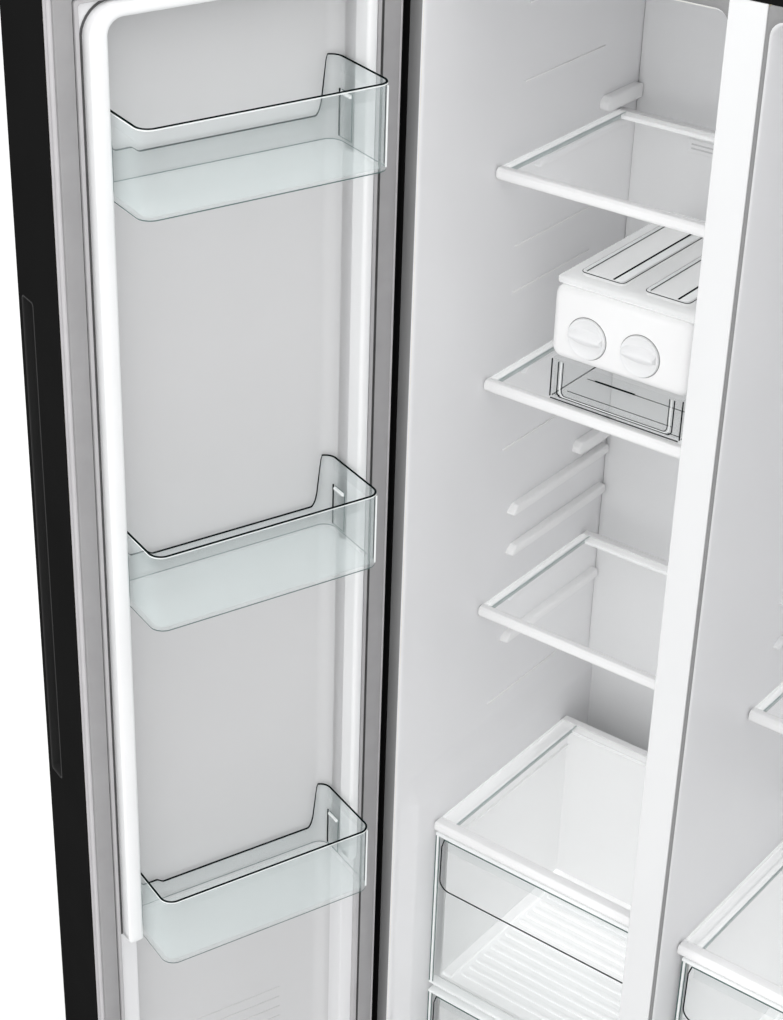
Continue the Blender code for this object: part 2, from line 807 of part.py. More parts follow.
def make_machine_room(root, looks):
    outline = [
        (0.0, CABINET_BOTTOM),
        (0.5345, CABINET_BOTTOM),
        (0.5345, CABINET_BOTTOM + WALL),
        (WALL, CABINET_BOTTOM + WALL),
        (WALL, LIP_BOTTOM - GAP),
        (0.0, LIP_BOTTOM - GAP),
    ]
    tray = build("base_tray", looks["steel"], root, (add_prism, outline, "X", -LIP_SIDE, LIP_SIDE))
    axle = [(0, -0.016), (SHAFT_RADIUS, -0.016), (SHAFT_RADIUS, 0.016), (0, 0.016)]
    for number, x in enumerate((-ROLLER_X, ROLLER_X)):
        centre = (x, ROLLER_Y, ROLLER_RADIUS)
        for end in (-1, 1):
            cheek = sorted((x + end * 0.012, x + end * 0.015))
            join(
                tray,
                f"cheek_{number}_{end + 1}",
                (add_block, (cheek[0], ROLLER_Y - 0.009, 0.009), (cheek[1], ROLLER_Y + 0.009, 0.0305)),
            )
        join(tray, f"axle_{number}", (add_turned, axle, centre, "X", 12))
    post = (add_block, (COND_FAN_X + 0.020, 0.400, 0.031), (COND_FAN_X + 0.040, 0.430, 0.140))
    shaft = [(0, -0.030), (SHAFT_RADIUS, -0.030), (SHAFT_RADIUS, 0.010), (0, 0.010)]
    join(tray, "fan_post", post)
    join(tray, "fan_shaft", (add_turned, shaft, (COND_FAN_X + 0.022, 0.415, COND_FAN_Z), "X", 12))
    make_fan("condenser_fan", root, looks["dark"], (COND_FAN_X, 0.415, COND_FAN_Z), "X")

    wheel = [
        (SHAFT_BORE, -0.009),
        (ROLLER_RADIUS - 0.001, -0.009),
        (ROLLER_RADIUS, -0.007),
        (ROLLER_RADIUS, 0.007),
        (ROLLER_RADIUS - 0.001, 0.009),
        (SHAFT_BORE, 0.009),
    ]
    foot = [
        (0, 0),
        (FOOT_RADIUS - 0.002, 0),
        (FOOT_RADIUS, 0.002),
        (FOOT_RADIUS, 0.010),
        (0.006, 0.012),
        (0.006, CABINET_BOTTOM - GAP),
        (0, CABINET_BOTTOM - GAP),
    ]
    for label, side in (("left", -1), ("right", 1)):
        centre = (side * ROLLER_X, ROLLER_Y, ROLLER_RADIUS)
        pivot = empty(f"rear_roller_{label}_axis", centre, root)
        build(f"rear_roller_{label}", looks["dark"], pivot, (add_turned, wheel, (0, 0, 0), "X"))
        place = (side * 0.395, 0.050, 0)
        build(f"front_foot_{label}", looks["dark"], root, (add_turned, foot, place, "Z"))

    shell = [
        (0, 0),
        (0.060, 0),
        (0.076, 0.020),
        (0.080, 0.060),
        (0.080, 0.100),
        (0.070, 0.140),
        (0.045, 0.160),
        (0, 0.166),
    ]
    floor = CABINET_BOTTOM + WALL + GAP
    compressor = build(
        "compressor",
        looks["black"],
        root,
        (add_turned, shell, (COMPRESSOR_X, COMPRESSOR_Y, floor + 0.010), "Z"),
    )
    join(
        compressor,
        "mounting_plate",
        (
            add_block,
            (COMPRESSOR_X - 0.100, COMPRESSOR_Y - 0.070, floor),
            (COMPRESSOR_X + 0.100, COMPRESSOR_Y + 0.070, floor + 0.012),
        ),
    )

    curve = bpy.data.curves.new("condenser", "CURVE")
    curve.dimensions = "3D"
    curve.bevel_depth = 0.0025
    curve.bevel_resolution = 2
    curve.use_fill_caps = True
    points = serpentine(6, 0.260, 0.024, (-0.380, 0.460, 0.060))
    spline = curve.splines.new("POLY")
    spline.points.add(len(points) - 1)
    for target, point in zip(spline.points, points):
        target.co = (*point, 1.0)
    curve.materials.append(looks["black"])
    condenser = bpy.data.objects.new("condenser", curve)
    bpy.context.scene.collection.objects.link(condenser)
    condenser.parent = root

    side = CABINET_WIDTH / 2 - SHEET - 0.0005
    cover = build(
        "machine_cover",
        looks["steel"],
        root,
        (
            add_block,
            (-side, CABINET_DEPTH - WALL, CABINET_BOTTOM + 0.003),
            (side, CABINET_DEPTH, MACHINE_ROOM_TOP),
        ),
    )
    slots = [
        (add_block, (-0.400 + 0.05 * i, 0.5, 0.080), (-0.370 + 0.05 * i, 0.6, 0.190))
        for i in range(17)
    ]
    cut(cover, "slots", *slots)


def make_hinges(root, looks):
    for label, door in (("left", FREEZER_DOOR), ("right", FRIDGE_DOOR)):
        side = door.side
        xs = sorted((side * 0.4525, side * 0.400))
        plate = CABINET_TOP + GAP
        pin = [(0, -0.019), (PIN_RADIUS, -0.019), (PIN_RADIUS, 0.001), (0, 0.001)]
        top = build(
            f"top_hinge_{label}",
            looks["steel"],
            root,
            (add_block, (xs[0], -0.036, plate), (xs[1], 0.060, plate + 0.004)),
        )
        join(top, "pin", (add_turned, pin, (door.pin_x, PIN_Y, plate), "Z", 16))
        cover = build(
            f"hinge_cover_{label}",
            looks["black"],
            root,
            (
                add_block,
                (min(xs) - 0.002, -0.040, plate),
                (max(xs) + 0.002, 0.070, CABINET_TOP + 0.016),
            ),
        )
        cut(
            cover,
            "hollow",
            (add_block, (min(xs) - GAP, -0.0383, 1.0), (max(xs) + GAP, 0.0683, CABINET_TOP + 0.0145)),
        )
        bottom = build(
            f"bottom_hinge_{label}",
            looks["steel"],
            root,
            (add_block, (xs[0], -0.036, 0.057), (xs[1], -GAP, 0.061)),
        )
        tab = sorted((side * 0.4525, side * 0.404))
        join(bottom, "tab", (add_block, (tab[0], -0.003, 0.034), (tab[1], -GAP, 0.060)))
        low_pin = [
            (0, -0.001),
            (0.009, -0.001),
            (0.009, 0.0045),
            (PIN_RADIUS, 0.0045),
            (PIN_RADIUS, 0.021),
            (0, 0.021),
        ]
        join(bottom, "pin", (add_turned, low_pin, (door.pin_x, PIN_Y, 0.061), "Z", 16))


def make_door(prefix, door, root, looks, bin_bottoms):
    hinge = empty(f"{prefix}_hinge", (door.pin_x, PIN_Y, 0), root, door.turn)
    frame = empty(f"{prefix}_frame", (-door.pin_x, -PIN_Y, 0), hinge)
    face, inner = door.outer_face, DOOR_INNER_FACE
    x0, x1 = door.span(0, door.width)

    def inset(distance):
        return (x0 + distance, x1 - distance, DOOR_BOTTOM + distance, DOOR_TOP - distance)

    def pin_holes(radius, depth):
        profile = [(0, -depth), (radius, -depth), (radius, depth), (0, depth)]
        return [
            (add_turned, profile, (door.pin_x, PIN_Y, DOOR_TOP), "Z", 16),
            (add_turned, profile, (door.pin_x, PIN_Y, DOOR_BOTTOM), "Z", 16),
        ]

    skin = build(
        f"{prefix}_skin",
        looks["black"],
        frame,
        (add_block, (x0, face, DOOR_BOTTOM), (x1, inner, DOOR_TOP)),
    )
    a0, a1, b0, b1 = inset(SHEET)
    cut(skin, "hollow", (add_block, (a0, face + SHEET, b0), (a1, 0.1, b1)))
    cut(skin, "pin_holes", *pin_holes(PIN_HOLE_RADIUS, 0.02))
    grip_y = (face + GRIP_NEAR, face + GRIP_FAR)
    grip_x = door.span(door.width - GRIP_DEPTH, door.width + 0.01)
    cut(skin, "grip_slot", (add_block, (grip_x[0], grip_y[0], GRIP_BOTTOM), (grip_x[1], grip_y[1], GRIP_TOP)))

    pan_x = door.span(PAN_FROM_HINGE, door.width - PAN_FROM_FREE)
    pan_z = (PAN_BOTTOM, PAN_TOP)
    dyke_x = door.span(PAN_FROM_HINGE - DYKE_AT_HINGE, door.width - PAN_FROM_FREE + DYKE_AT_FREE)
    a0, a1, b0, b1 = inset(SHEET + 0.0005)
    liner = build(
        f"{prefix}_liner",
        looks["white"],
        frame,
        (add_block, (a0, inner - WALL, b0), (a1, inner, b1)),
    )
    pan_floor = inner - PAN_DEPTH
    join(
        liner,
        "pan",
        (
            add_block,
            (pan_x[0] - WALL, pan_floor - WALL, pan_z[0] - WALL),
            (pan_x[1] + WALL, inner - 0.0005, pan_z[1] + WALL),
        ),
    )
    join(
        liner,
        "dyke",
        (
            add_block,
            (dyke_x[0], inner - 0.0007, DYKE_BOTTOM),
            (dyke_x[1], inner + DYKE_HEIGHT, pan_z[1] + DYKE_AT_TOP),
        ),
    )
    cut(liner, "hollow", (add_block, (pan_x[0], pan_floor, pan_z[0]), (pan_x[1], 0.3, pan_z[1])))

    a0, a1, b0, b1 = inset(SHEET + GAP)
    foam = build(
        f"{prefix}_foam",
        looks["foam"],
        frame,
        (add_block, (a0, face + SHEET + GAP, b0), (a1, inner - WALL - GAP, b1)),
    )
    grow = WALL + GAP
    cut(
        foam,
        "pan",
        (
            add_block,
            (pan_x[0] - grow, pan_floor - grow, pan_z[0] - grow),
            (pan_x[1] + grow, 0.1, pan_z[1] + grow),
        ),
    )
    cut(foam, "pin_holes", *pin_holes(PIN_HOLE_RADIUS + 0.0005, 0.022))
    grip_room = door.span(door.width - GRIP_DEPTH - 0.003, door.width + 0.01)
    cut(
        foam,
        "grip",
        (
            add_block,
            (grip_room[0], grip_y[0] - 0.003, GRIP_BOTTOM - 0.003),
            (grip_room[1], grip_y[1] + 0.003, GRIP_TOP + 0.003),
        ),
    )

    grip_outer = door.span(door.width - GRIP_DEPTH - 0.002, door.width - SHEET - GAP)
    grip = build(
        f"{prefix}_grip",
        looks["dark"],
        frame,
        (
            add_block,
            (grip_outer[0], grip_y[0] - 0.002, GRIP_BOTTOM - 0.002),
            (grip_outer[1], grip_y[1] + 0.002, GRIP_TOP + 0.002),
        ),
    )
    cut(
        grip,
        "channel",
        (add_block, (grip_x[0], grip_y[0] + 0.0005, GRIP_BOTTOM), (grip_x[1], grip_y[1] - 0.0005, GRIP_TOP)),
    )

    hinge_start, other_start = 0.005, 0.004
    gx = door.span(hinge_start, door.width - other_start)
    outer = (gx[0], gx[1], DOOR_BOTTOM + other_start, DOOR_TOP - other_start)
    gasket_inner = (
        outer[0] + GASKET_SIDE_WIDTH,
        outer[1] - GASKET_SIDE_WIDTH,
        outer[2] + GASKET_END_WIDTH,
        outer[3] - GASKET_END_WIDTH,
    )
    build(
        f"{prefix}_gasket",
        looks["gasket"],
        frame,
        (add_ring, outer, gasket_inner, inner + GAP, GASKET_FACE),
    )

    for number, bottom in enumerate(bin_bottoms, 1):
        bx = door.span(BIN_FROM_HINGE, door.width - BIN_FROM_FREE)
        back = pan_floor + BIN_STANDOFF
        tray = build(
            f"{prefix}_bin_{number}",
            looks["clear"],
            frame,
            (
                add_tray,
                (bx[0], back, bottom),
                (bx[1], back + BIN_REACH, bottom + BIN_HEIGHT),
                BIN_WALL,
                BIN_WALL,
                0.014,
            ),
        )
        cut(
            tray,
            "back_dip",
            (
                add_block,
                (bx[0] + 0.020, back - 0.01, bottom + 0.028),
                (bx[1] - 0.020, back + 0.006, bottom + 0.2),
            ),
        )


def make_looks():
    return {
        "black": material("black_enamel", (0.011, 0.011, 0.011), 0.42),
        "steel": material("galvanised_steel", (0.45, 0.46, 0.47), 0.45, 0.9),
        "white": material("white_abs", (0.86, 0.87, 0.88), 0.35),
        "grey_white": material("liner_white", (0.60, 0.60, 0.61), 0.40),
        "clear": material("clear_acrylic", (0.78, 0.86, 0.86), 0.08, 0.0, 0.35),
        "glass": material("shelf_glass", (0.80, 0.87, 0.87), 0.05, 0.0, 0.4),
        "gasket": material("gasket_grey", (0.36, 0.35, 0.35), 0.6),
        "foam": material("insulation_foam", (0.80, 0.72, 0.50), 0.9),
        "aluminium": material("fin_aluminium", (0.70, 0.71, 0.72), 0.4, 0.9),
        "dark": material("dark_plastic", (0.015, 0.015, 0.016), 0.5),
    }


def main():
    clear_scene()
    looks = make_looks()
    centre_x, centre_y = resting_centre()
    root = empty("refrigerator_root", (-centre_x, -centre_y, 0))
    make_cabinet(root, looks)
    make_liners(root, looks)
    make_shelves(root, looks)
    make_freezer_drawers(root, looks)
    make_crispers(root, looks)
    make_ice_maker(root, looks)
    make_air_parts(root, looks)
    make_machine_room(root, looks)
    make_hinges(root, looks)
    make_door("freezer_door", FREEZER_DOOR, root, looks, FREEZER_BIN_BOTTOMS)
    make_door("fridge_door", FRIDGE_DOOR, root, looks, FRIDGE_BIN_BOTTOMS)


main()
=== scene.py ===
"""The look of the side by side refrigerator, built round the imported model.

Shapes are written in the cabinet's own frame: X = 0 at the middle of its width, Y = 0 at the
front flange, Z = 0 at the floor, both doors shut. Each piece is then placed where it rests.
"""

import json
import math

import bmesh
import bpy
from mathutils import Matrix, Vector


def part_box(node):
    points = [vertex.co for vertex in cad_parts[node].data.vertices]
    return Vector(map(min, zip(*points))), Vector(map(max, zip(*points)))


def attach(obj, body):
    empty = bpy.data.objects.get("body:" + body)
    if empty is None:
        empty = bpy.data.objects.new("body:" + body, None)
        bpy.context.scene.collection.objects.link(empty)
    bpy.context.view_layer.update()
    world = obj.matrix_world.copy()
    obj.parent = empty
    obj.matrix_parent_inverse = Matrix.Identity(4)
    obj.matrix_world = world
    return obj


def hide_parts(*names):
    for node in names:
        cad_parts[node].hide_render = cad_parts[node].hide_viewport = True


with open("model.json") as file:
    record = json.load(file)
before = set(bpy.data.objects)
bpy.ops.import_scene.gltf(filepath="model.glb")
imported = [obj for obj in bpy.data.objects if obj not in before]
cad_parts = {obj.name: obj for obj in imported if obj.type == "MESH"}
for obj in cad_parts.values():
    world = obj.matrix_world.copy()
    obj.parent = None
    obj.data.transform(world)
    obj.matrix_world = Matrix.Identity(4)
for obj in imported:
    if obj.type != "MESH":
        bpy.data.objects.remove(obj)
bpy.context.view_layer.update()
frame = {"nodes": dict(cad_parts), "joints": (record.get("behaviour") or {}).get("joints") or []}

shell_low, shell_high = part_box("cabinet_shell")
ORIGIN = Vector(((shell_low.x + shell_high.x) / 2, shell_low.y, 0))
JOINTS = {joint["name"]: joint for joint in frame["joints"]}


def add_camera():
    data = bpy.data.cameras.new("camera")
    data.lens = 75.2
    data.sensor_width = 36.0
    data.shift_x = 0.1165
    data.shift_y = -0.0039
    data.clip_end = 50.0
    camera = bpy.data.objects.new("camera", data)
    bpy.context.scene.collection.objects.link(camera)
    camera.location = ORIGIN + Vector((0.784, -1.657, 2.297))
    camera.rotation_euler = (math.radians(59.95), 0, math.radians(40.0))
    bpy.context.scene.camera = camera


add_camera()


# Places

CABINET = Matrix.Translation(ORIGIN)


def door_place(joint_name):
    """Takes closed-door positions to where the door rests."""
    joint = JOINTS[joint_name]
    pin = Vector((joint["pos_m"][0], joint["pos_m"][1], 0))
    to_closed = math.radians(joint["range_deg"][0]) * joint["axis"][2]
    turn = Matrix.Rotation(-to_closed, 4, "Z")
    return Matrix.Translation(pin) @ turn @ Matrix.Translation(-pin) @ CABINET


PLACES = {
    "freezer_door": door_place("freezer_door_hinge"),
    "fridge_door": door_place("fridge_door_hinge"),
}


class Box:
    """A node's box in the cabinet's frame, doors shut."""

    def __init__(self, node, place=CABINET):
        back = place.inverted()
        points = [back @ v.co for v in frame["nodes"][node].data.vertices]
        self.x0, self.x1 = min(p.x for p in points), max(p.x for p in points)
        self.y0, self.y1 = min(p.y for p in points), max(p.y for p in points)
        self.z0, self.z1 = min(p.z for p in points), max(p.z for p in points)


# Shapes


def rounded(a0, a1, b0, b1, radius, seg=6):
    """Points round a rectangle with arcs at its corners, starting on the high a side."""
    points = []
    radius = max(radius, 1e-5)
    for ca, cb, start in (
        (a1 - radius, b1 - radius, 0),
        (a0 + radius, b1 - radius, 90),
        (a0 + radius, b0 + radius, 180),
        (a1 - radius, b0 + radius, 270),
    ):
        for i in range(seg + 1):
            angle = math.radians(start + 90 * i / seg)
            points.append((ca + radius * math.cos(angle), cb + radius * math.sin(angle)))
    return points


def around(box, inset, radius, seg=6):
    """The outline of a box seen from the front, taken in by inset."""
    return rounded(box.x0 + inset, box.x1 - inset, box.z0 + inset, box.z1 - inset, radius, seg)


def upright(outline, y):
    """An outline of x and z stood up at depth y."""
    return [(x, y, z) for x, z in outline]


def flat(outline, z):
    """An outline of x and y laid at height z."""
    return [(x, y, z) for x, y in outline]


def subdivided(points, step):
    """The same closed outline with extra points along its long sides."""
    made = []
    for i, (a, b) in enumerate(points):
        c, d = points[(i + 1) % len(points)]
        count = max(1, math.ceil(math.hypot(c - a, d - b) / step))
        made += [(a + (c - a) * k / count, b + (d - b) * k / count) for k in range(count)]
    return made


def quarter(seg):
    """Sines along a quarter circle."""
    return [math.sin(math.pi / 2 * i / seg) for i in range(seg + 1)]


class Shape:
    def __init__(self):
        self.bm = bmesh.new()

    def take(self, other, slot):
        for face in other.faces:
            face.material_index = slot
        mesh = bpy.data.meshes.new("part")
        other.to_mesh(mesh)
        self.bm.from_mesh(mesh)
        bpy.data.meshes.remove(mesh)
        other.free()
        return self

    def weld(self):
        """Joins points that lie on one another and turns every face outwards."""
        bmesh.ops.remove_doubles(self.bm, verts=self.bm.verts[:], dist=1e-6)
        bmesh.ops.recalc_face_normals(self.bm, faces=self.bm.faces[:])

    def block(self, low, high, radius=0.0, seg=2, slot=0):
        bm = bmesh.new()
        centre = (Vector(low) + Vector(high)) / 2
        size = Vector(high) - Vector(low)
        matrix = Matrix.Translation(centre) @ Matrix.Diagonal((*size, 1.0))
        bmesh.ops.create_cube(bm, size=1.0, matrix=matrix)
        if radius:
            limit = min(size) * 0.49
            bmesh.ops.bevel(
                bm,
                geom=bm.edges[:],
                offset=min(radius, limit),
                segments=seg,
                profile=0.5,
                affect="EDGES",
            )
        return self.take(bm, slot)

    def prism(self, outline, axis, start, end, radius=0.0, seg=2, slot=0):
        point = {
            "X": lambda a, b, t: (t, a, b),
            "Y": lambda a, b, t: (a, t, b),
            "Z": lambda a, b, t: (a, b, t),
        }[axis]
        bm = bmesh.new()
        near = [bm.verts.new(point(a, b, start)) for a, b in outline]
        far = [bm.verts.new(point(a, b, end)) for a, b in outline]
        bm.faces.new(near)
        bm.faces.new(far)
        for i in range(len(outline)):
            j = (i + 1) % len(outline)
            bm.faces.new((near[i], near[j], far[j], far[i]))
        bmesh.ops.recalc_face_normals(bm, faces=bm.faces[:])
        if radius:
            bmesh.ops.bevel(
                bm, geom=bm.edges[:], offset=radius, segments=seg, profile=0.5, affect="EDGES"
            )
        return self.take(bm, slot)

    def loft(self, loops, slot=0, first=False, last=False, ring=False):
        bm = bmesh.new()
        rows = [[bm.verts.new(p) for p in loop] for loop in loops]
        pairs = list(zip(rows, rows[1:])) + ([(rows[-1], rows[0])] if ring else [])
        for near, far in pairs:
            for i in range(len(near)):
                j = (i + 1) % len(near)
                bm.faces.new((near[i], near[j], far[j], far[i]))
        if first:
            bm.faces.new(rows[0])
        if last:
            bm.faces.new(rows[-1])
        bmesh.ops.recalc_face_normals(bm, faces=bm.faces[:])
        return self.take(bm, slot)

    def turned(self, profile, centre, axis, steps=48, slot=0):
        turn = {
            "X": Matrix.Rotation(math.pi / 2, 4, "Y"),
            "Y": Matrix.Rotation(-math.pi / 2, 4, "X"),
            "Z": Matrix.Identity(4),
        }[axis]
        place = Matrix.Translation(centre) @ turn
        bm = bmesh.new()
        rows = []
        for radius, along in profile:
            count = 1 if radius < 1e-6 else steps
            row = []
            for i in range(count):
                angle = 2 * math.pi * i / steps
                point = Vector((radius * math.cos(angle), radius * math.sin(angle), along))
                row.append(bm.verts.new(place @ point))
            rows.append(row)
        for near, far in zip(rows, rows[1:]):
            for i in range(steps):
                j = (i + 1) % steps
                corners = [near[i % len(near)], near[j % len(near)]]
                corners += [far[j % len(far)], far[i % len(far)]]
                unique = list(dict.fromkeys(corners))
                if len(unique) > 2:
                    bm.faces.new(unique)
        bmesh.ops.recalc_face_normals(bm, faces=bm.faces[:])
        return self.take(bm, slot)

    def tube(self, points, radius, sides=10, slot=0):
        """A round bar through points."""
        points = [Vector(p) for p in points]
        bm = bmesh.new()
        rows = []
        side = None
        for i, point in enumerate(points):
            ahead = points[min(i + 1, len(points) - 1)] - points[max(i - 1, 0)]
            ahead.normalize()
            if side is None:
                side = ahead.orthogonal().normalized()
            side = (side - ahead * side.dot(ahead)).normalized()
            other = ahead.cross(side)
            row = []
            for k in range(sides):
                angle = 2 * math.pi * k / sides
                offset = side * math.cos(angle) + other * math.sin(angle)
                row.append(bm.verts.new(point + offset * radius))
            rows.append(row)
        for near, far in zip(rows, rows[1:]):
            for i in range(sides):
                j = (i + 1) % sides
                bm.faces.new((near[i], near[j], far[j], far[i]))
        bm.faces.new(rows[0])
        bm.faces.new(rows[-1])
        bmesh.ops.recalc_face_normals(bm, faces=bm.faces[:])
        return self.take(bm, slot)


SHARP_ANGLE = math.radians(40)


def make(node, shape, looks, body):
    """The piece seen in a node's place, riding on that node's body."""
    name = node + "_look"
    mesh = bpy.data.meshes.new(name)
    shape.bm.to_mesh(mesh)
    shape.bm.free()
    piece = bpy.data.objects.new(name, mesh)
    bpy.context.scene.collection.objects.link(piece)
    for look in looks:
        mesh.materials.append(look)
    mesh.shade_smooth()
    mesh.set_sharp_from_angle(angle=SHARP_ANGLE)
    piece.matrix_world = PLACES.get(body, CABINET)
    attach(piece, body)
    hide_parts(node)
    return piece


# Materials


def look(
    name, low, high, rough, metallic=0.0, scale=40.0, bump=0.05, bump_scale=900.0, stretch=None
):
    """A Principled finish whose colour, gloss and surface vary a little from place to place."""
    made = bpy.data.materials.new(name)
    made.use_nodes = True
    nodes, links = made.node_tree.nodes, made.node_tree.links
    shader = nodes["Principled BSDF"]
    shader.inputs["Metallic"].default_value = metallic
    where = nodes.new("ShaderNodeTexCoord")
    stretched = nodes.new("ShaderNodeMapping")
    stretched.inputs["Scale"].default_value = stretch or (1, 1, 1)
    links.new(where.outputs["Object"], stretched.inputs["Vector"])
    broad = nodes.new("ShaderNodeTexNoise")
    broad.inputs["Scale"].default_value = scale
    broad.inputs["Detail"].default_value = 4.0
    links.new(stretched.outputs["Vector"], broad.inputs["Vector"])
    ramp = nodes.new("ShaderNodeValToRGB")
    ramp.color_ramp.elements[0].position = 0.3
    ramp.color_ramp.elements[1].position = 0.7
    ramp.color_ramp.elements[0].color = (*low, 1)
    ramp.color_ramp.elements[1].color = (*high, 1)
    links.new(broad.outputs["Fac"], ramp.inputs["Fac"])
    links.new(ramp.outputs["Color"], shader.inputs["Base Color"])
    gloss = nodes.new("ShaderNodeMapRange")
    gloss.inputs["To Min"].default_value = rough[0]
    gloss.inputs["To Max"].default_value = rough[1]
    links.new(broad.outputs["Fac"], gloss.inputs["Value"])
    links.new(gloss.outputs["Result"], shader.inputs["Roughness"])
    fine = nodes.new("ShaderNodeTexNoise")
    fine.inputs["Scale"].default_value = bump_scale
    fine.inputs["Detail"].default_value = 2.0
    links.new(stretched.outputs["Vector"], fine.inputs["Vector"])
    raised = nodes.new("ShaderNodeBump")
    raised.inputs["Strength"].default_value = bump
    raised.inputs["Distance"].default_value = 0.0004
    links.new(fine.outputs["Fac"], raised.inputs["Height"])
    links.new(raised.outputs["Normal"], shader.inputs["Normal"])
    return made


def see_through(name, low, high, thin, thick, rough=0.04):
    """A clear sheet: nearly invisible face on, denser where it is seen edge on."""
    made = look(name, low, high, (rough, rough + 0.03), scale=25.0, bump=0.01)
    nodes, links = made.node_tree.nodes, made.node_tree.links
    shader = nodes["Principled BSDF"]
    facing = nodes.new("ShaderNodeLayerWeight")
    facing.inputs["Blend"].default_value = 0.25
    density = nodes.new("ShaderNodeMapRange")
    density.inputs["To Min"].default_value = thin
    density.inputs["To Max"].default_value = thick
    links.new(facing.outputs["Facing"], density.inputs["Value"])
    links.new(density.outputs["Result"], shader.inputs["Alpha"])
    return made


def matt(made, specular):
    """Turns down a finish's mirror reflection."""
    made.node_tree.nodes["Principled BSDF"].inputs["Specular IOR Level"].default_value = specular
    return made


def painted_glow(made, strength):
    """Adds a painted glow: emission on thin white or clear plastic that stands in for light and
    reflection it does not get.
    """
    shader = made.node_tree.nodes["Principled BSDF"]
    shader.inputs["Emission Color"].default_value = (1, 1, 1, 1)
    shader.inputs["Emission Strength"].default_value = strength
    return made


ENAMEL = look(
    "black_enamel", (0.0085, 0.0085, 0.0085), (0.0105, 0.0105, 0.0105), (0.80, 0.88), scale=6
)
matt(ENAMEL, 0.0)
RECESS_PLASTIC = look(
    "recess_plastic", (0.024, 0.024, 0.024), (0.030, 0.030, 0.030), (0.6, 0.7), scale=9
)
matt(RECESS_PLASTIC, 0.05)
# The recess rim's lighter black is a painted highlight round the recess edge.
RECESS_HIGHLIGHT = look(
    "recess_rim_painted_highlight", (0.036, 0.036, 0.036), (0.044, 0.044, 0.044), (0.6, 0.7), scale=9
)
matt(RECESS_HIGHLIGHT, 0.05)
BLACK_PLASTIC = matt(
    look("black_plastic", (0.010, 0.010, 0.010), (0.014, 0.014, 0.014), (0.5, 0.6), bump=0.25), 0.15
)
ZINC = look(
    "zinc_steel", (0.42, 0.43, 0.44), (0.55, 0.56, 0.57), (0.3, 0.5), 0.9, scale=70, bump=0.1
)
WHITE = look(
    "white_plastic", (0.86, 0.865, 0.87), (0.89, 0.895, 0.90), (0.30, 0.38), scale=8, bump=0.03
)
RAIL_WHITE = look(
    "rail_plastic", (0.93, 0.93, 0.93), (0.96, 0.96, 0.96), (0.30, 0.38), scale=8, bump=0.03
)
# The drawer white carries a faint painted glow; the ribs and floor take a whiter copy of it with a
# stronger painted glow, painted light on the same plastic.
DRAWER_WHITE = look(
    "drawer_plastic", (0.90, 0.905, 0.905), (0.92, 0.925, 0.925), (0.34, 0.42), scale=8, bump=0.03
)
painted_glow(DRAWER_WHITE, 0.03)
RIB_FLOOR_PAINTED_LIGHT = look(
    "rib_floor_painted_light", (0.96, 0.965, 0.965), (0.98, 0.985, 0.985), (0.34, 0.42), scale=8, bump=0.03
)
painted_glow(RIB_FLOOR_PAINTED_LIGHT, 0.22)
LINER = look(
    "liner_plastic", (0.84, 0.84, 0.85), (0.86, 0.86, 0.87), (0.36, 0.46), scale=5, bump=0.04
)
# The lip grey is partly the flange's own grey and partly painted shade, carried onto the rounded
# mouth.
LIP_GREY_AND_SHADE = look(
    "lip_grey_and_painted_shade", (0.22, 0.22, 0.222), (0.25, 0.25, 0.252), (0.5, 0.6), scale=9, bump=0.05
)
DOOR_WHITE = look(
    "door_plastic", (0.80, 0.80, 0.81), (0.82, 0.82, 0.83), (0.32, 0.40), scale=5, bump=0.04
)
POST_WHITE = look(
    "post_plastic", (0.73, 0.735, 0.74), (0.75, 0.755, 0.76), (0.36, 0.44), scale=6, bump=0.03
)
# The door pan is the same white plastic as the flange and rim, darkened with painted shade.
DOOR_PANEL_SHADE = look(
    "door_panel_painted_shade", (0.64, 0.64, 0.645), (0.66, 0.66, 0.665), (0.36, 0.46), scale=4, bump=0.04
)
GASKET = look(
    "gasket_rubber", (0.315, 0.31, 0.315), (0.345, 0.34, 0.345), (0.55, 0.65), scale=30, bump=0.10
)
# The near-black groove is painted shade in the seal's groove and beside the door rim.
GROOVE_SHADE = look(
    "groove_painted_shade", (0.07, 0.07, 0.07), (0.10, 0.10, 0.10), (0.6, 0.7), scale=30, bump=0.10
)
# The lighter grey is a painted highlight on the seal's bead and lip, and painted shade on the door
# liner's white edge.
GREY_HIGHLIGHT_AND_SHADE = look(
    "grey_painted_highlight_and_shade", (0.46, 0.45, 0.46), (0.50, 0.49, 0.50), (0.55, 0.65), scale=30, bump=0.10
)
FOAM = look("foam", (0.72, 0.64, 0.42), (0.84, 0.76, 0.54), (0.85, 0.95), scale=300, bump=0.6)
DRAWN = (1, 30, 1)
ALUMINIUM = look(
    "aluminium", (0.62, 0.63, 0.64), (0.74, 0.75, 0.76), (0.3, 0.45), 0.9, bump=0.1, stretch=DRAWN
)
DARK = look("dark_plastic", (0.014, 0.014, 0.015), (0.022, 0.022, 0.023), (0.45, 0.58), bump=0.3)
# The clear plastics below carry a faint painted glow that stands in for light inside the
# compartments.
CLEAR = see_through("clear_plastic", (0.62, 0.73, 0.73), (0.66, 0.77, 0.77), 0.06, 0.28)
painted_glow(CLEAR, 0.14)
PALE_CLEAR = see_through("pale_clear_plastic", (0.86, 0.92, 0.92), (0.90, 0.95, 0.95), 0.03, 0.22)
painted_glow(PALE_CLEAR, 0.08)
FLOOR_TINT = see_through("clear_floor", (0.76, 0.86, 0.85), (0.80, 0.90, 0.89), 0.22, 0.45)
painted_glow(FLOOR_TINT, 0.10)
# The band tint is painted shade under the drawer fronts' top lip, and a darker tint on the bins'
# thick band.
BAND_TINT_AND_SHADE = see_through("clear_band_tint_and_painted_shade", (0.64, 0.72, 0.73), (0.68, 0.76, 0.77), 0.06, 0.20)
painted_glow(BAND_TINT_AND_SHADE, 0.12)
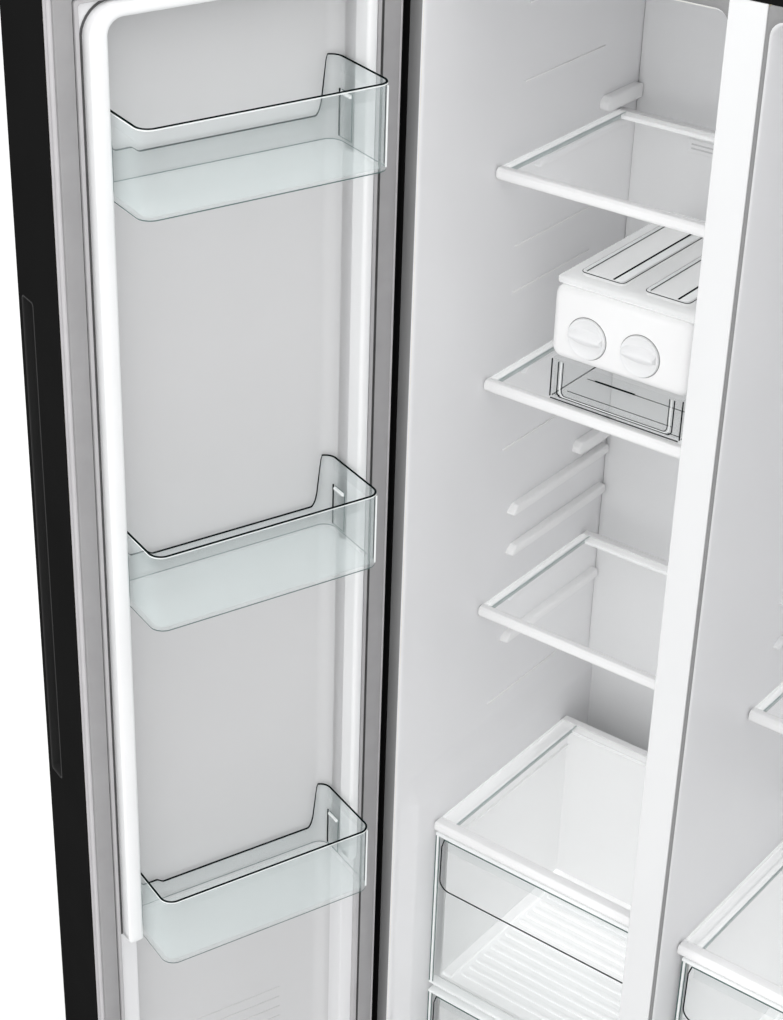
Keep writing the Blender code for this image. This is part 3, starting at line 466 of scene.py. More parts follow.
# Edge lines on clear plastic: the dark and grey lines are painted shade along the edges, the teal
# lines painted shade with the plastic's green tint, and the bright edge a painted highlight with a
# faint painted glow.
EDGE_SHADE = look(
    "clear_edge_painted_shade", (0.004, 0.007, 0.007), (0.007, 0.011, 0.011), (0.60, 0.70), bump=0.01
)
matt(EDGE_SHADE, 0.0)
TEAL_EDGE_TINT_AND_SHADE = look(
    "teal_clear_edge_tint_and_painted_shade", (0.05, 0.10, 0.095), (0.08, 0.14, 0.13), (0.30, 0.40), bump=0.01
)
matt(TEAL_EDGE_TINT_AND_SHADE, 0.3)
GREY_EDGE_SHADE = look(
    "grey_clear_edge_painted_shade", (0.38, 0.44, 0.44), (0.44, 0.50, 0.50), (0.30, 0.40), bump=0.01
)
matt(GREY_EDGE_SHADE, 0.3)
EDGE_HIGHLIGHT = see_through("clear_edge_painted_highlight", (0.92, 0.94, 0.94), (0.95, 0.97, 0.97), 0.75, 0.95)
painted_glow(EDGE_HIGHLIGHT, 0.10)
# The glass's strong glow is a painted reflection, a whitening film over what lies behind; the
# frosted trim and lid carry a fainter painted glow.
GLASS = see_through("shelf_glass", (0.93, 0.95, 0.95), (0.96, 0.98, 0.98), 0.03, 0.13, 0.02)
painted_glow(GLASS, 0.85)
FROST = see_through("frosted_trim", (0.92, 0.93, 0.93), (0.95, 0.96, 0.96), 0.42, 0.62, 0.25)
painted_glow(FROST, 0.24)
LID = see_through("lid_plastic", (0.90, 0.91, 0.91), (0.93, 0.94, 0.94), 0.36, 0.56, 0.10)
painted_glow(LID, 0.22)
SEAM = look("seam_shadow", (0.20, 0.20, 0.20), (0.26, 0.26, 0.26), (0.6, 0.7), bump=0.1)
VENT = look("vent_shadow", (0.52, 0.52, 0.53), (0.58, 0.58, 0.59), (0.5, 0.6), bump=0.1)


# Cabinet


SHEET = 0.0012


def cabinet_pieces():
    shell = Box("cabinet_shell")
    liner = Box("freezer_liner")
    edge = -liner.x0 + 0.0003
    shape = Shape()
    loops = [
        upright(rounded(shell.x0 + g, shell.x1 - g, shell.z0, shell.z1 - g, 0.004), y)
        for y, g in ((shell.y1, 0), (0.003, 0), (0.0009, 0.0009), (0.0, 0.003))
    ]
    mouth = rounded(-edge, edge, shell.z0, liner.z1 + 0.0003, 0.004)
    loops += [upright(mouth, 0.0), upright(mouth, SHEET)]
    inside = rounded(shell.x0 + 0.001, shell.x1 - 0.001, shell.z0, shell.z1 - 0.001, 0.003)
    loops += [upright(inside, SHEET), upright(inside, shell.y1)]
    shape.loft(loops, ring=True)
    make("cabinet_shell", shape, [ENAMEL], "cabinet")

    panel = Box("back_panel")
    shape = Shape().block((panel.x0, panel.y0, panel.z0), (panel.x1, panel.y1, panel.z1), 0.0004, 1)
    for x in (-0.30, -0.10, 0.10, 0.30):
        shape.block(
            (x - 0.02, panel.y1 - 0.0006, panel.z0 + 0.06),
            (x + 0.02, panel.y1 + 0.0012, panel.z1 - 0.06),
            0.001,
        )
    for x in (-0.44, 0.44):
        for i in range(9):
            z = panel.z0 + 0.05 + i * (panel.z1 - panel.z0 - 0.1) / 8
            shape.turned(SCREW, (x, panel.y1, z), "Y", 16, 1)
    make("back_panel", shape, [ZINC, DARK], "cabinet")

    mullion = Box("mullion_cover")
    shape = Shape().prism(
        rounded(mullion.x0, mullion.x1, -0.0008, 0.0022, 0.0012, 4), "Z", mullion.z0, mullion.z1
    )
    make("mullion_cover", shape, [POST_WHITE], "cabinet")

    kick = Box("kick_plate")
    shape = Shape()
    rails = [(kick.z0, kick.z0 + 0.015), (kick.z1 - 0.019, kick.z1)]
    for low, high in rails:
        shape.block((kick.x0, kick.y0, low), (kick.x1, kick.y1, high), 0.0015)
    count = 54
    for i in range(count):
        x = kick.x0 + 0.005 + i * (kick.x1 - kick.x0 - 0.014) / (count - 1)
        slat = (x + 0.004, kick.y1 - 0.004, kick.z1 - 0.002)
        shape.block((x, kick.y0 + 0.001, kick.z0 + 0.002), slat, 0.0008, 1)
    make("kick_plate", shape, [BLACK_PLASTIC], "cabinet")


SCREW = [(0, 0.0016), (0.002, 0.0016), (0.0042, 0.0009), (0.005, 0.0), (0.005, -0.001)]


def liner_inside(shape, left, right, lip_left, lip_right, grow_left, grow_right, radius=0.014):
    """Lip, rounded mouth, walls and back of one compartment."""
    top, bottom, back = OPENING[1], OPENING[0], COMPARTMENT_BACK
    lip = Box("freezer_liner")

    def ring(y, gl, gr, gz, corner):
        return upright(rounded(left - gl, right + gr, bottom - gz, top + gz, corner), y)

    def lip_ring(y, inset):
        x0, x1 = lip_left + inset, lip_right - inset
        return upright(rounded(x0, x1, lip.z0 + inset, lip.z1 - inset, 0.004), y)

    loops = [lip_ring(0.0015, 0), lip_ring(0.0004, 0), lip_ring(0.0, 0.0004)]
    mouth = 0.007
    for along in quarter(5):
        depth = mouth * (1 - math.sqrt(max(0.0, 1 - along**2)))
        g = 1 - along
        loops.append(ring(depth, grow_left * g, grow_right * g, mouth * g, radius))
    # The lip and the outer half of the rounded mouth take the lip grey: the flange's own grey, with
    # painted shade on the mouth.
    shape.loft(loops[:6], 1)
    loops.append(ring(0.1, 0, 0, 0, radius))
    turn = 0.022
    for along in quarter(5):
        inset = turn * (1 - math.sqrt(max(0.0, 1 - along**2)))
        loops.append(ring(back - turn + turn * along, -inset, -inset, -inset, radius + 0.004))
    shape.loft(loops[5:], last=True)
    return shape


def rail(shape, wall, inward, front, back, top, height=0.009, depth=0.007, slot=0):
    """A moulded shelf rail: a bar on a side wall whose front end slopes into the wall."""
    x0, x1 = sorted((wall - inward * 0.002, wall + inward * depth))
    outline = [
        (front, top - height * 0.75),
        (front + 0.010, top),
        (back, top),
        (back, top - height),
        (front + 0.004, top - height),
    ]
    return shape.prism(outline, "X", x0, x1, 0.0022, 3, slot)


def drawer_pad(shape, left, wall):
    """The thicker side wall beside the drawers, which grows smoothly out of the liner."""
    heights = (0.722, 0.716, 0.690, 0.684, 0.600, 0.099)
    reach = (0.0, 0.06, 0.94, 1.0, 1.0, 1.0)
    loops = []
    steps = ((0.008, 0.0), (0.013, 0.06), (0.031, 0.94), (0.036, 1.0), (0.120, 1.0), (0.480, 1.0))
    for y, share in steps:
        row = [(left + (wall - left) * share * r, y, z) for z, r in zip(heights, reach)]
        row += [(left - 0.003, y, heights[-1]), (left - 0.003, y, heights[0])]
        loops.append(row)
    shape.loft(loops, first=True, last=True)


def liners():
    left, right = FREEZER
    outer = Box("freezer_liner")
    shape = Shape()
    liner_inside(shape, left, right, outer.x0, right + 0.0014, 0.007, 0.0012)
    shape.block((left - 0.002, 0.285, 0.098), (right + 0.002, 0.49, 0.290), 0.010, 4)
    wall = left + 0.012
    drawer_pad(shape, left, wall)
    for top, front in SHELF_RAILS:
        for side, inward in ((left, 1), (right, -1)):
            rail(shape, side, inward, front, 0.400, top)
    for top, front, back in ((1.026, 0.205, 0.416), (0.969, 0.207, 0.416), (0.843, 0.207, 0.416)):
        rail(shape, left, 1, front, back, top, 0.012, 0.010, 2)
        rail(shape, right, -1, front, back, top, 0.012, 0.010, 2)
    # The stop over the back end of each rail
    for z in (1.496, 1.056, 0.661):
        wedge = [
            (0.344, z - 0.006),
            (0.350, z),
            (0.419, z - 0.001),
            (0.419, z - 0.018),
            (0.350, z - 0.017),
            (0.344, z - 0.014),
        ]
        shape.prism(wedge, "X", left - 0.002, left + 0.011, 0.0022, 3, 2)
    for z in (1.640, 1.555, 1.366, 1.310, 1.110, 0.7485, 0.670):
        far = (left + 0.0013, 0.345, z + 0.0009)
        shape.block((left - 0.002, 0.187, z - 0.0009), far, 0.0008, 2, 2)
    for top in LOW_RAILS:
        rail(shape, wall, 1, 0.100, 0.2845, top)
        rail(shape, right, -1, 0.100, 0.2845, top)
    make("freezer_liner", shape, [LINER, LIP_GREY_AND_SHADE, RAIL_WHITE], "cabinet")

    left, right = FRIDGE
    outer = Box("fridge_liner")
    shape = Shape()
    liner_inside(shape, left, right, outer.x0, outer.x1, 0.0035, 0.007)
    shape.block((left - 0.002, 0.285, 0.098), (right + 0.002, 0.49, 0.290), 0.010, 4)
    spare = ((1.18, 0.34), (1.06, 0.34), (1.003, 0.34))
    for top, back in ((1.3267, 0.425), (0.9217, 0.425)) + spare:
        rail(shape, left, 1, 0.180, back, top)
        rail(shape, right, -1, 0.180, back, top)
    for top in (0.6547, 0.3825):
        rail(shape, left, 1, 0.080, 0.280, top)
        rail(shape, right, -1, 0.080, 0.280, top)
    make("fridge_liner", shape, [LINER, LIP_GREY_AND_SHADE], "cabinet")


OPENING = (0.100, 1.736)
COMPARTMENT_BACK = 0.484
FREEZER = (-0.414, -0.0864)
FRIDGE = (-0.0435, 0.414)
LOW_RAILS = (0.6302, 0.3825)
SHELF_RAILS = ((1.4592, 0.215), (1.2067, 0.215), (0.8967, 0.215))


# Shelves


def shelf(name, style="shelf"):
    """A glass pane in a white front bar, side strips and a back bar."""
    b = Box(name)
    top = b.z1
    shape = Shape()
    wide, side = (0.012, 0.012) if style == "shelf" else (0.016, 0.024)
    bar = [
        (b.y0, b.z0 + 0.003),
        (b.y0 + 0.002, b.z0),
        (b.y0 + wide - 0.002, b.z0),
        (b.y0 + wide, b.z0 + 0.003),
        (b.y0 + wide, top - 0.001),
        (b.y0 + wide - 0.002, top),
        (b.y0 + 0.003, top),
        (b.y0, top - 0.003),
    ]
    shape.prism(bar, "X", b.x0, b.x1, 0.0007, 2, 0)
    start, end = b.y0 + wide - 0.0015, b.y1 - 0.011
    # The inner edge of each side strip takes a grey line of painted shade.
    for edge, inward in ((b.x0, 1), (b.x1, -1)):
        for near, far, low, slot in (
            (0.0, 0.0035, top - 0.007, 2),
            (0.0033, side - 0.0013, top - 0.0052, 2),
            (side - 0.0015, side, top - 0.0058, 3),
        ):
            x0, x1 = sorted((edge + inward * near, edge + inward * far))
            shape.block((x0, start, low), (x1, end, top - 0.0004), 0.0009, 2, slot)
    shape.block((b.x0, b.y1 - 0.0115, top - 0.011), (b.x1, b.y1, top - 0.0002), 0.0015, 2, 0)
    strip = (b.x1 - side, b.y1 - 0.0113, top - 0.0004)
    shape.block((b.x0 + side, b.y1 - 0.024, top - 0.0056), strip, 0.0009, 2, 2)
    ribs = 26
    for i in range(ribs):
        x = b.x0 + 0.006 + i * (b.x1 - b.x0 - 0.016) / (ribs - 1)
        rib = (x + 0.003, b.y1 - 0.011, top - 0.001)
        shape.block((x, b.y1 - 0.0135, top - 0.009), rib, 0.0006, 1, 0)
    pane = (b.x1 - side + 0.0005, b.y1 - 0.0235, top - 0.0010)
    shape.block((b.x0 + side - 0.0005, b.y0 + wide - 0.0005, top - 0.0046), pane, 0.0004, 1, 1)
    make(name, shape, [RAIL_WHITE, GLASS, FROST, GREY_EDGE_SHADE], "cabinet")


# Clear bins


def smooth(t):
    t = min(1.0, max(0.0, t))
    return t * t * (3 - 2 * t)


def tray_loops(outline_of, z0, wall, floor, foot, rim_height):
    """Loops of an open tray. outline_of(inset) gives the outline, rim_height(a, b) its top."""
    loops = []
    for k in range(4):
        t = math.pi / 2 * k / 3
        inset = foot * (1 - math.sin(t))
        loops.append([(a, b, z0 + foot * (1 - math.cos(t))) for a, b in outline_of(inset)])
    outer = outline_of(0)
    tops = [rim_height(a, b) for a, b in outer]
    loops.append([(a, b, z - 0.001) for (a, b), z in zip(outer, tops)])
    rim = outline_of(0.0006)
    loops.append([(a, b, z) for (a, b), z in zip(rim, tops)])
    rim = outline_of(wall - 0.0006)
    loops.append([(a, b, z) for (a, b), z in zip(rim, tops)])
    inner = outline_of(wall)
    loops.append([(a, b, z - 0.001) for (a, b), z in zip(inner, tops)])
    for k in range(4):
        t = math.pi / 2 * k / 3
        inset = wall + foot * (1 - math.cos(t))
        loops.append([(a, b, z0 + floor + foot * (1 - math.sin(t))) for a, b in outline_of(inset)])
    return loops


def door_bin(node, body, hinge_side):
    """A clear bin whose back wall dips between two ears. hinge_side is -1 on the left door."""
    place = PLACES[body]
    b = Box(node, place)
    high, low = b.z1, b.z0 + 0.0285
    wall, radius = 0.0025, 0.015
    hinge, free = (b.x0, b.x1) if hinge_side < 0 else (b.x1, b.x0)
    into = -hinge_side
    base = subdivided(rounded(b.x0, b.x1, b.y0, b.y1, radius, 8), 0.002)

    def pulled(a, c, inset):
        """The point on the outline inset by that much, next to (a, c)."""
        ca = min(max(a, b.x0 + radius), b.x1 - radius)
        cc = min(max(c, b.y0 + radius), b.y1 - radius)
        keep = max(radius - inset, 0.001) / max(math.hypot(a - ca, c - cc), 1e-6)
        return (ca + (a - ca) * keep, cc + (c - cc) * keep)

    def grown(inset):
        return [pulled(a, c, inset) for a, c in base]

    def rim(a, c):
        if c > b.y0 + 0.006:
            return high
        near = min(a - b.x0, b.x1 - a)
        dip = low + 0.0055 * smooth((0.050 - abs(a - free)) / 0.010)
        steep = high + (dip + 0.010 - high) * min(1.0, max(0.0, (near - 0.0115) / 0.006))
        if near < 0.0175:
            return steep
        return dip + 0.010 * (1 - math.sin(math.pi / 2 * min(1.0, (near - 0.0175) / 0.007)))

    loops = tray_loops(grown, b.z0, wall, wall, 0.004, rim)
    shape = Shape()
    shape.loft(loops[:5], 0)
    # The rim's top takes the dark edge, painted shade along the rim.
    shape.loft(loops[4:8], 1)
    shape.loft(loops[7:], 0)
    shape.loft([loops[0], [(a, c, z + 0.0001) for a, c, z in loops[0]]], 0, first=True)
    shape.loft([loops[-1], [(a, c, z - 0.0001) for a, c, z in loops[-1]]], 3, first=True)
    # The thick foot, drawn as a fine line of painted shade
    foot = [(a, c, b.z0 + 0.0010) for a, c in grown(-0.0001)]
    shape.loft([foot, [(a, c, z + 0.0011) for a, c, z in foot]], 4)
    # A thicker band round the top of the front and ends, with a painted highlight along its top and
    # a darker tint below
    bright = [(a, c, rim(a, c) - 0.0012) for a, c in grown(-0.0001)]
    shape.loft([bright, [(a, c, z - 0.0012) for a, c, z in bright]], 2)
    band = grown(wall + 0.0002)
    depths = [0.016 if c > b.y0 + 0.012 else 0.0014 for _, c in band]
    step = [(a, c, rim(a, c) - depth) for (a, c), depth in zip(band, depths)]
    shape.loft([step, [(a, c, rim(a, c) - 0.0012) for a, c in band]], 5)
    # Painted highlight and painted shade lines in the thickness of the front corner by the hinge,
    # and a shade line low on the free end
    x, y = hinge + into * 0.0042, b.y1 - 0.0042
    shape.tube([(x, y, b.z0 + 0.004), (x, y, high - 0.004)], 0.0009, 8, 2)
    x, y = hinge + into * 0.0007, b.y1 - 0.0130
    shape.tube([(x, y, b.z0 + 0.004), (x, y, high - 0.003)], 0.0005, 8, 1)
    x, y = free - into * 0.0012, b.y0 + 0.0080
    shape.tube([(x, y, b.z0 + 0.003), (x, y, b.z0 + 0.050)], 0.0006, 8, 4)
    # Hook pockets inside both end walls, outlined with painted shade lines and a painted highlight
    for edge, inward in ((hinge, into), (free, -into)):
        x = edge + inward * 0.0036
        y0, y1, z0, z1 = b.y0 + 0.014, b.y0 + 0.0375, b.z0 + 0.008, b.z0 + 0.057
        shape.tube([(x, y0, z0), (x, y0, z1)], 0.0009, 8, 1)
        shape.tube([(x, y0, z0), (x, y1, z0), (x, y1, z1), (x, y0 + 0.004, z1)], 0.0004, 6, 4)
        x0, x1 = sorted((edge + inward * 0.0022, edge + inward * 0.0060))
        shape.block((x0, y0 + 0.003, z1 - 0.005), (x1, y1 - 0.001, z1 - 0.001), 0.0016, 3, 2)
    looks = [CLEAR, EDGE_SHADE, EDGE_HIGHLIGHT, FLOOR_TINT, TEAL_EDGE_TINT_AND_SHADE, BAND_TINT_AND_SHADE]
    make(node, shape, looks, body)


# Doors


def sweep_u(shape, path, profile_of, slot=0):
    """A profile of (inset, height) carried along a U path of (x, z, nx, nz, width)."""
    loops = []
    for x, z, nx, nz, width in path:
        loops.append([(x + nx * d, y, z + nz * d) for d, y in profile_of(width)])
    shape.loft(loops, slot, first=True, last=True)


def u_path(x0, x1, low, top, corner, width0, width1, width_top):
    """Up the left side, over the top and down the right, with the rim's width at each point."""
    path = [(x0, low, -1, 0, width0), (x0, top - corner, -1, 0, width0)]

    def bend(centre, t, width):
        across, up = math.cos(t), math.sin(t)
        return (centre + corner * across, top - corner + corner * up, across, up, width)

    for i in range(1, 9):
        width = width0 + (width_top - width0) * i / 9
        path.append(bend(x0 + corner, math.pi - math.pi / 2 * i / 9, width))
    path += [(x0 + corner, top, 0, 1, width_top), (x1 - corner, top, 0, 1, width_top)]
    for i in range(1, 9):
        width = width_top + (width1 - width_top) * i / 9
        path.append(bend(x1 - corner, math.pi / 2 - math.pi / 2 * i / 9, width))
    path += [(x1, top - corner, 1, 0, width1), (x1, low, 1, 0, width1)]
    return path


PAN_FROM_HINGE = 0.0525
PAN_FROM_FREE = 0.056
PAN_HEIGHTS = (0.135, 1.7225)
PAN_DEPTH = 0.040
RIM_BOTTOM = 0.656
RIM_AT_HINGE, RIM_AT_FREE, RIM_AT_TOP = 0.012, 0.018, 0.012


def door_skin(prefix, body, skin, grip, free, into):
    """A pan folded round the foam, with a recess for the fingers in its free edge."""
    inner, face = skin.y1, skin.y0

    def rect(inset, y, corner):
        return upright(around(skin, inset, corner, 4), y)

    loops = [
        rect(0.0012, inner - 0.001, 0.002),
        rect(0.0, inner - 0.001, 0.002),
        rect(0, inner - 0.003, 0.003),
    ]
    loops.append(rect(0, face + 0.003, 0.003))
    for t in (0.3, 0.7, 1.1, 1.571):
        loops.append(rect(0.003 * (1 - math.cos(t)), face + 0.003 * (1 - math.sin(t)), 0.003))
    shape = Shape()
    shape.loft(loops, 0, last=True)
    skin_look = make(prefix + "_skin", shape, [ENAMEL], body)
    y0, y1, z0, z1 = grip
    cutter = Shape()
    x0, x1 = sorted((free - into * 0.01, free + into * 0.022))
    cutter.prism(rounded(y0, y1, z0, z1, 0.004, 4), "X", x0, x1)
    cut(skin_look, cutter, PLACES[body])

    def channel(depth, shrink):
        outline = rounded(y0 + shrink, y1 - shrink, z0 + shrink, z1 - shrink, 0.004, 4)
        return [(free + into * depth, a, c) for a, c in outline]

    shape = Shape()
    # The recess rim takes the lighter black, a painted highlight round the edge.
    rim = ((0.0, -0.0009), (-0.0005, -0.0005), (-0.0004, 0.0003), (0.0010, 0.0004))
    shape.loft([channel(*step) for step in rim], 1)
    bowl = ((0.0010, 0.0004), (0.015, 0.0015), (0.019, 0.003), (0.021, 0.006))
    shape.loft([channel(*step) for step in bowl], 0, last=True)
    make(prefix + "_grip", shape, [RECESS_PLASTIC, RECESS_HIGHLIGHT], body)


def door_liner(prefix, body, skin, hinge, into):
    """The door's inner face: flange, raised rim and sunk pan."""
    liner = Box(prefix + "_liner", PLACES[body])
    inner = skin.y1
    insets = (PAN_FROM_HINGE, PAN_FROM_FREE) if into > 0 else (PAN_FROM_FREE, PAN_FROM_HINGE)
    xl, xr = skin.x0 + insets[0], skin.x1 - insets[1]
    low, top = PAN_HEIGHTS
    depth = inner - PAN_DEPTH
    shape = Shape()

    def pan_rect(grow, y, corner):
        return upright(rounded(xl - grow, xr + grow, low - grow, top + grow, corner, 8), y)

    def outer_rect(inset, y):
        return upright(around(liner, inset, 0.004, 8), y)

    # The liner's outer edge takes the lighter grey, painted shade on the white plastic.
    edge = ((0, inner - 0.0014), (0, inner - 0.0004), (0.0005, inner), (0.012, inner))
    shape.loft([outer_rect(*step) for step in edge], 4)
    loops = [outer_rect(*edge[-1]), pan_rect(0.004, inner, 0.020)]
    loops += [pan_rect(0.0015, inner - 0.0007, 0.018), pan_rect(0, inner - 0.004, 0.016)]
    fillet = 0.016
    for t in (0.0, 0.3, 0.6, 0.9, 1.2, 1.4):
        y = depth + fillet * (1 - math.sin(t))
        loops.append(pan_rect(-fillet * (1 - math.cos(t)), y, 0.018))
    shape.loft(loops[:5], 0)
    # The pan takes the darker grey, painted shade on the same white plastic.
    shape.loft(loops[4:] + [pan_rect(-fillet, depth, 0.014)], 1, last=True)
    # Shallow ribs low on the panel
    for i in range(4):
        z = 0.436 - i * 0.016
        x0, x1 = sorted((hinge + into * 0.115, hinge + into * 0.266))
        shape.block((x0, depth - 0.001, z), (x1, depth + 0.0009, z + 0.0016), 0.0007, 2, 1)
    # Raised rim, open at the bottom
    rise = liner.y1 - inner
    widths = (RIM_AT_HINGE, RIM_AT_FREE) if into > 0 else (RIM_AT_FREE, RIM_AT_HINGE)
    path = u_path(xl, xr, RIM_BOTTOM, top, 0.016, *widths, RIM_AT_TOP)

    def rim(width):
        r = 0.0042
        crest = inner + rise
        turn = (0.4, 0.8, 1.2, 1.571)
        points = [(0.0, depth + 0.016), (0.0, crest - r)]
        points += [(r * (1 - math.cos(t)), crest - r + r * math.sin(t)) for t in turn]
        points += [(width - r + r * math.sin(t), crest - r * (1 - math.cos(t))) for t in turn]
        points += [(width, inner + 0.004), (width + 0.0006, inner - 0.0005)]
        points.append((width * 0.5, inner - 0.001))
        return points + [(0.002, depth + 0.016)]

    def groove(width):
        near, far = width + 0.0004, width + 0.0030
        base, crest = inner + 0.0002, inner + 0.0006
        return [(near, base), (near, crest), (far, crest), (far, base)]

    sweep_u(shape, path, rim, 2)
    # The shadowed groove between the rim and the seal
    sweep_u(shape, path, groove, 3)
    for x0, x1 in ((xl - widths[0], xl), (xr, xr + widths[1])):
        foot = (x1, inner + rise, RIM_BOTTOM + 0.010)
        shape.block((x0, inner - 0.004, RIM_BOTTOM - 0.004), foot, 0.0042, 4, 2)
    looks = [DOOR_WHITE, DOOR_PANEL_SHADE, WHITE, GROOVE_SHADE, GREY_HIGHLIGHT_AND_SHADE]
    make(prefix + "_liner", shape, looks, body)


def gasket(prefix, body):
    """A bead, a wide magnet strip, a groove and a thin inner lip."""
    g = Box(prefix + "_gasket", PLACES[body])
    base, crest = g.y0, g.y1
    # The bead and inner lip take the lighter grey, a painted highlight, and the groove the near
    # black, painted shade.
    profile = [
        (0.0, base, 2),
        (0.0, crest - 0.0034, 2),
        (0.0007, crest - 0.0014, 2),
        (0.0020, crest - 0.0010, 2),
        (0.0028, crest - 0.0018, 2),
        (0.0034, crest - 0.0018, 0),
        (0.0042, crest - 0.0004, 0),
        (0.0054, crest, 0),
        (0.0212, crest, 0),
        (0.0222, crest - 0.0006, 0),
        (0.0227, crest - 0.0030, 1),
        (0.0240, crest - 0.0030, 1),
        (0.0248, crest - 0.0014, 2),
        (0.0284, crest - 0.0016, 2),
        (0.0294, crest - 0.0030, 2),
        (0.0300, base, 2),
    ]

    def loop(inset, y):
        up = inset * 0.026 / 0.030
        return upright(rounded(g.x0 + inset, g.x1 - inset, g.z0 + up, g.z1 - up, 0.003, 3), y)

    rows = [loop(inset, y) for inset, y, _ in profile]
    shape = Shape()
    for i in range(1, len(rows)):
        shape.loft(rows[i - 1 : i + 1], profile[i][2])
    shape.loft([rows[-1], rows[0]], 0)
    shape.weld()
    looks = [GASKET, GROOVE_SHADE, GREY_HIGHLIGHT_AND_SHADE]
    make(prefix + "_gasket", shape, looks, body)


def door(prefix, body):
    skin = Box(prefix + "_skin", PLACES[body])
    side = -1 if prefix.startswith("freezer") else 1
    free, hinge = (skin.x1, skin.x0) if side < 0 else (skin.x0, skin.x1)
    g = Box(prefix + "_grip", PLACES[body])
    recess = (g.y0 + 0.002, g.y1 - 0.002, g.z0 + 0.002, g.z1 - 0.002)
    door_skin(prefix, body, skin, recess, free, side)
    door_liner(prefix, body, skin, hinge, -side)
    gasket(prefix, body)
    for number in (1, 2, 3):
        door_bin(f"{prefix}_bin_{number}", body, side)


def cut(piece, cutter, place):
    """Takes the cutter out of the piece's mesh for good."""
    mesh = bpy.data.meshes.new("cutter")
    cutter.bm.to_mesh(mesh)
    cutter.bm.free()
    tool = bpy.data.objects.new("cutter", mesh)
    bpy.context.scene.collection.objects.link(tool)
    tool.matrix_world = place
    modifier = piece.modifiers.new("cut", "BOOLEAN")
    modifier.operation = "DIFFERENCE"
    modifier.solver = "EXACT"
    modifier.object = tool
    bpy.context.view_layer.update()
    graph = bpy.context.evaluated_depsgraph_get()
    result = bpy.data.meshes.new_from_object(piece.evaluated_get(graph))
    piece.modifiers.clear()
    old = piece.data
    piece.data = result
    result.name = old.name
    bpy.data.meshes.remove(old)
    bpy.data.objects.remove(tool)
    bpy.data.meshes.remove(mesh)
    return piece


# Drawers


def plain_tray(shape, low, high, wall, corner, foot, slot, floor_slot=0):
    def outline(inset):
        corner_now = max(corner - inset, 0.001)
        return rounded(low[0] + inset, high[0] - inset, low[1] + inset, high[1] - inset, corner_now)

    loops = tray_loops(outline, low[2], wall, wall, foot, lambda a, b: high[2])
    shape.loft(loops[:-3], slot, first=True)
    shape.loft(loops[-4:], floor_slot, last=True)
    shape.weld()
    return shape


def open_front(shape, front, low):
    """Takes away the upright faces of a tray's front wall, where a clear panel stands instead."""
    faces = []
    for face in shape.bm.faces:
        middle = face.calc_center_median()
        if middle.y < front + 0.0032 and middle.z > low + 0.004:
            faces.append(face)
    bmesh.ops.delete(shape.bm, geom=faces, context="FACES")


def floor_ribs(shape, x0, x1, front, back, low, slot):
    """Low bars across a drawer's floor, with a raised border round them."""
    y = front + 0.020
    while y < back - 0.016:
        corner = (x1 - 0.022, y + 0.0075, low + 0.0062)
        shape.block((x0 + 0.022, y, low + 0.001), corner, 0.0026, 3, slot)
        y += 0.0165
    for a, c, start in (
        (x0 + 0.0005, x0 + 0.016, front + 0.006),
        (x1 - 0.016, x1 - 0.0005, front + 0.006),
        (x0 + 0.0005, x1 - 0.0005, back - 0.014),
    ):
        corner = (c, back - 0.0005, low + 0.0072)
        shape.block((a, start, low + 0.001), corner, 0.0020, 3, slot)


RECESS_HEIGHT = 0.084


def clear_front(shape, b, first):
    """A clear panel with a top lip of painted highlight, a finger recess in its thickness, and fine
    edge lines of painted highlight and shade.

    first is the material index of the clear sheet. The bright, dark, teal and shaded ones follow.
    """
    sheet, bright, dark, teal, band = range(first, first + 5)
    front = b.y0
    low = b.z1 - RECESS_HEIGHT
    # The last block is a tinted sheet of painted shade under the top lip.
    for inset, near, far, z0, z1, radius, seg, slot in (
        (0.001, 0.0118, 0.0135, b.z0 + 0.001, b.z1 - 0.001, 0.0004, 1, sheet),
        (0.001, 0.0008, 0.0020, b.z0 + 0.001, low, 0.0004, 1, sheet),
        (0, 0, 0.014, b.z1 - 0.0045, b.z1, 0.0015, 3, bright),
        (0, 0, 0.014, b.z0, b.z0 + 0.0045, 0.0015, 3, bright),
        (0.012, 0.0102, 0.0112, b.z1 - 0.030, b.z1 - 0.0050, 0.0004, 1, band),
    ):
        far_corner = (b.x1 - inset, front + far, z1)
        shape.block((b.x0 + inset, front + near, z0), far_corner, radius, seg, slot)
    # The recess: a dark line of painted shade down each side, round the low corners and along the
    # bottom
    side, corner = b.x0 + 0.0095, 0.014
    points = [(b.x0 + 0.0135, b.z1 - 0.006), (b.x0 + 0.0100, b.z1 - 0.018), (side, low + corner)]
    for i in range(1, 7):
        t = math.pi + math.pi / 2 * i / 6
        points.append((side + corner * (1 + math.cos(t)), low + corner * (1 + math.sin(t))))
    path = [(x, front + 0.0009, z) for x, z in points]
    path += [(b.x0 + b.x1 - x, y, z) for x, y, z in reversed(path)]
    shape.tube(path, 0.0008, 8, dark)
    # Painted highlight and shade lines down both side edges, and a shade line under the top lip.
    lines = ((0.0010, teal, 0.0009), (0.0034, bright, 0.0016), (0.0060, teal, 0.0006))
    for edge, inward in ((b.x0, 1), (b.x1, -1)):
        for reach, slot, radius in lines:
            x, y = edge + inward * reach, front + 0.0014
            shape.tube([(x, y, b.z0 + 0.002), (x, y, b.z1 - 0.004)], radius, 8, slot)
    y, z = front + 0.0006, b.z1 - 0.0056
    shape.tube([(b.x0 + 0.014, y, z), (b.x1 - 0.012, y, z)], 0.0007, 8, teal)


FRONT_LOOKS = [PALE_CLEAR, EDGE_HIGHLIGHT, EDGE_SHADE, TEAL_EDGE_TINT_AND_SHADE, BAND_TINT_AND_SHADE]


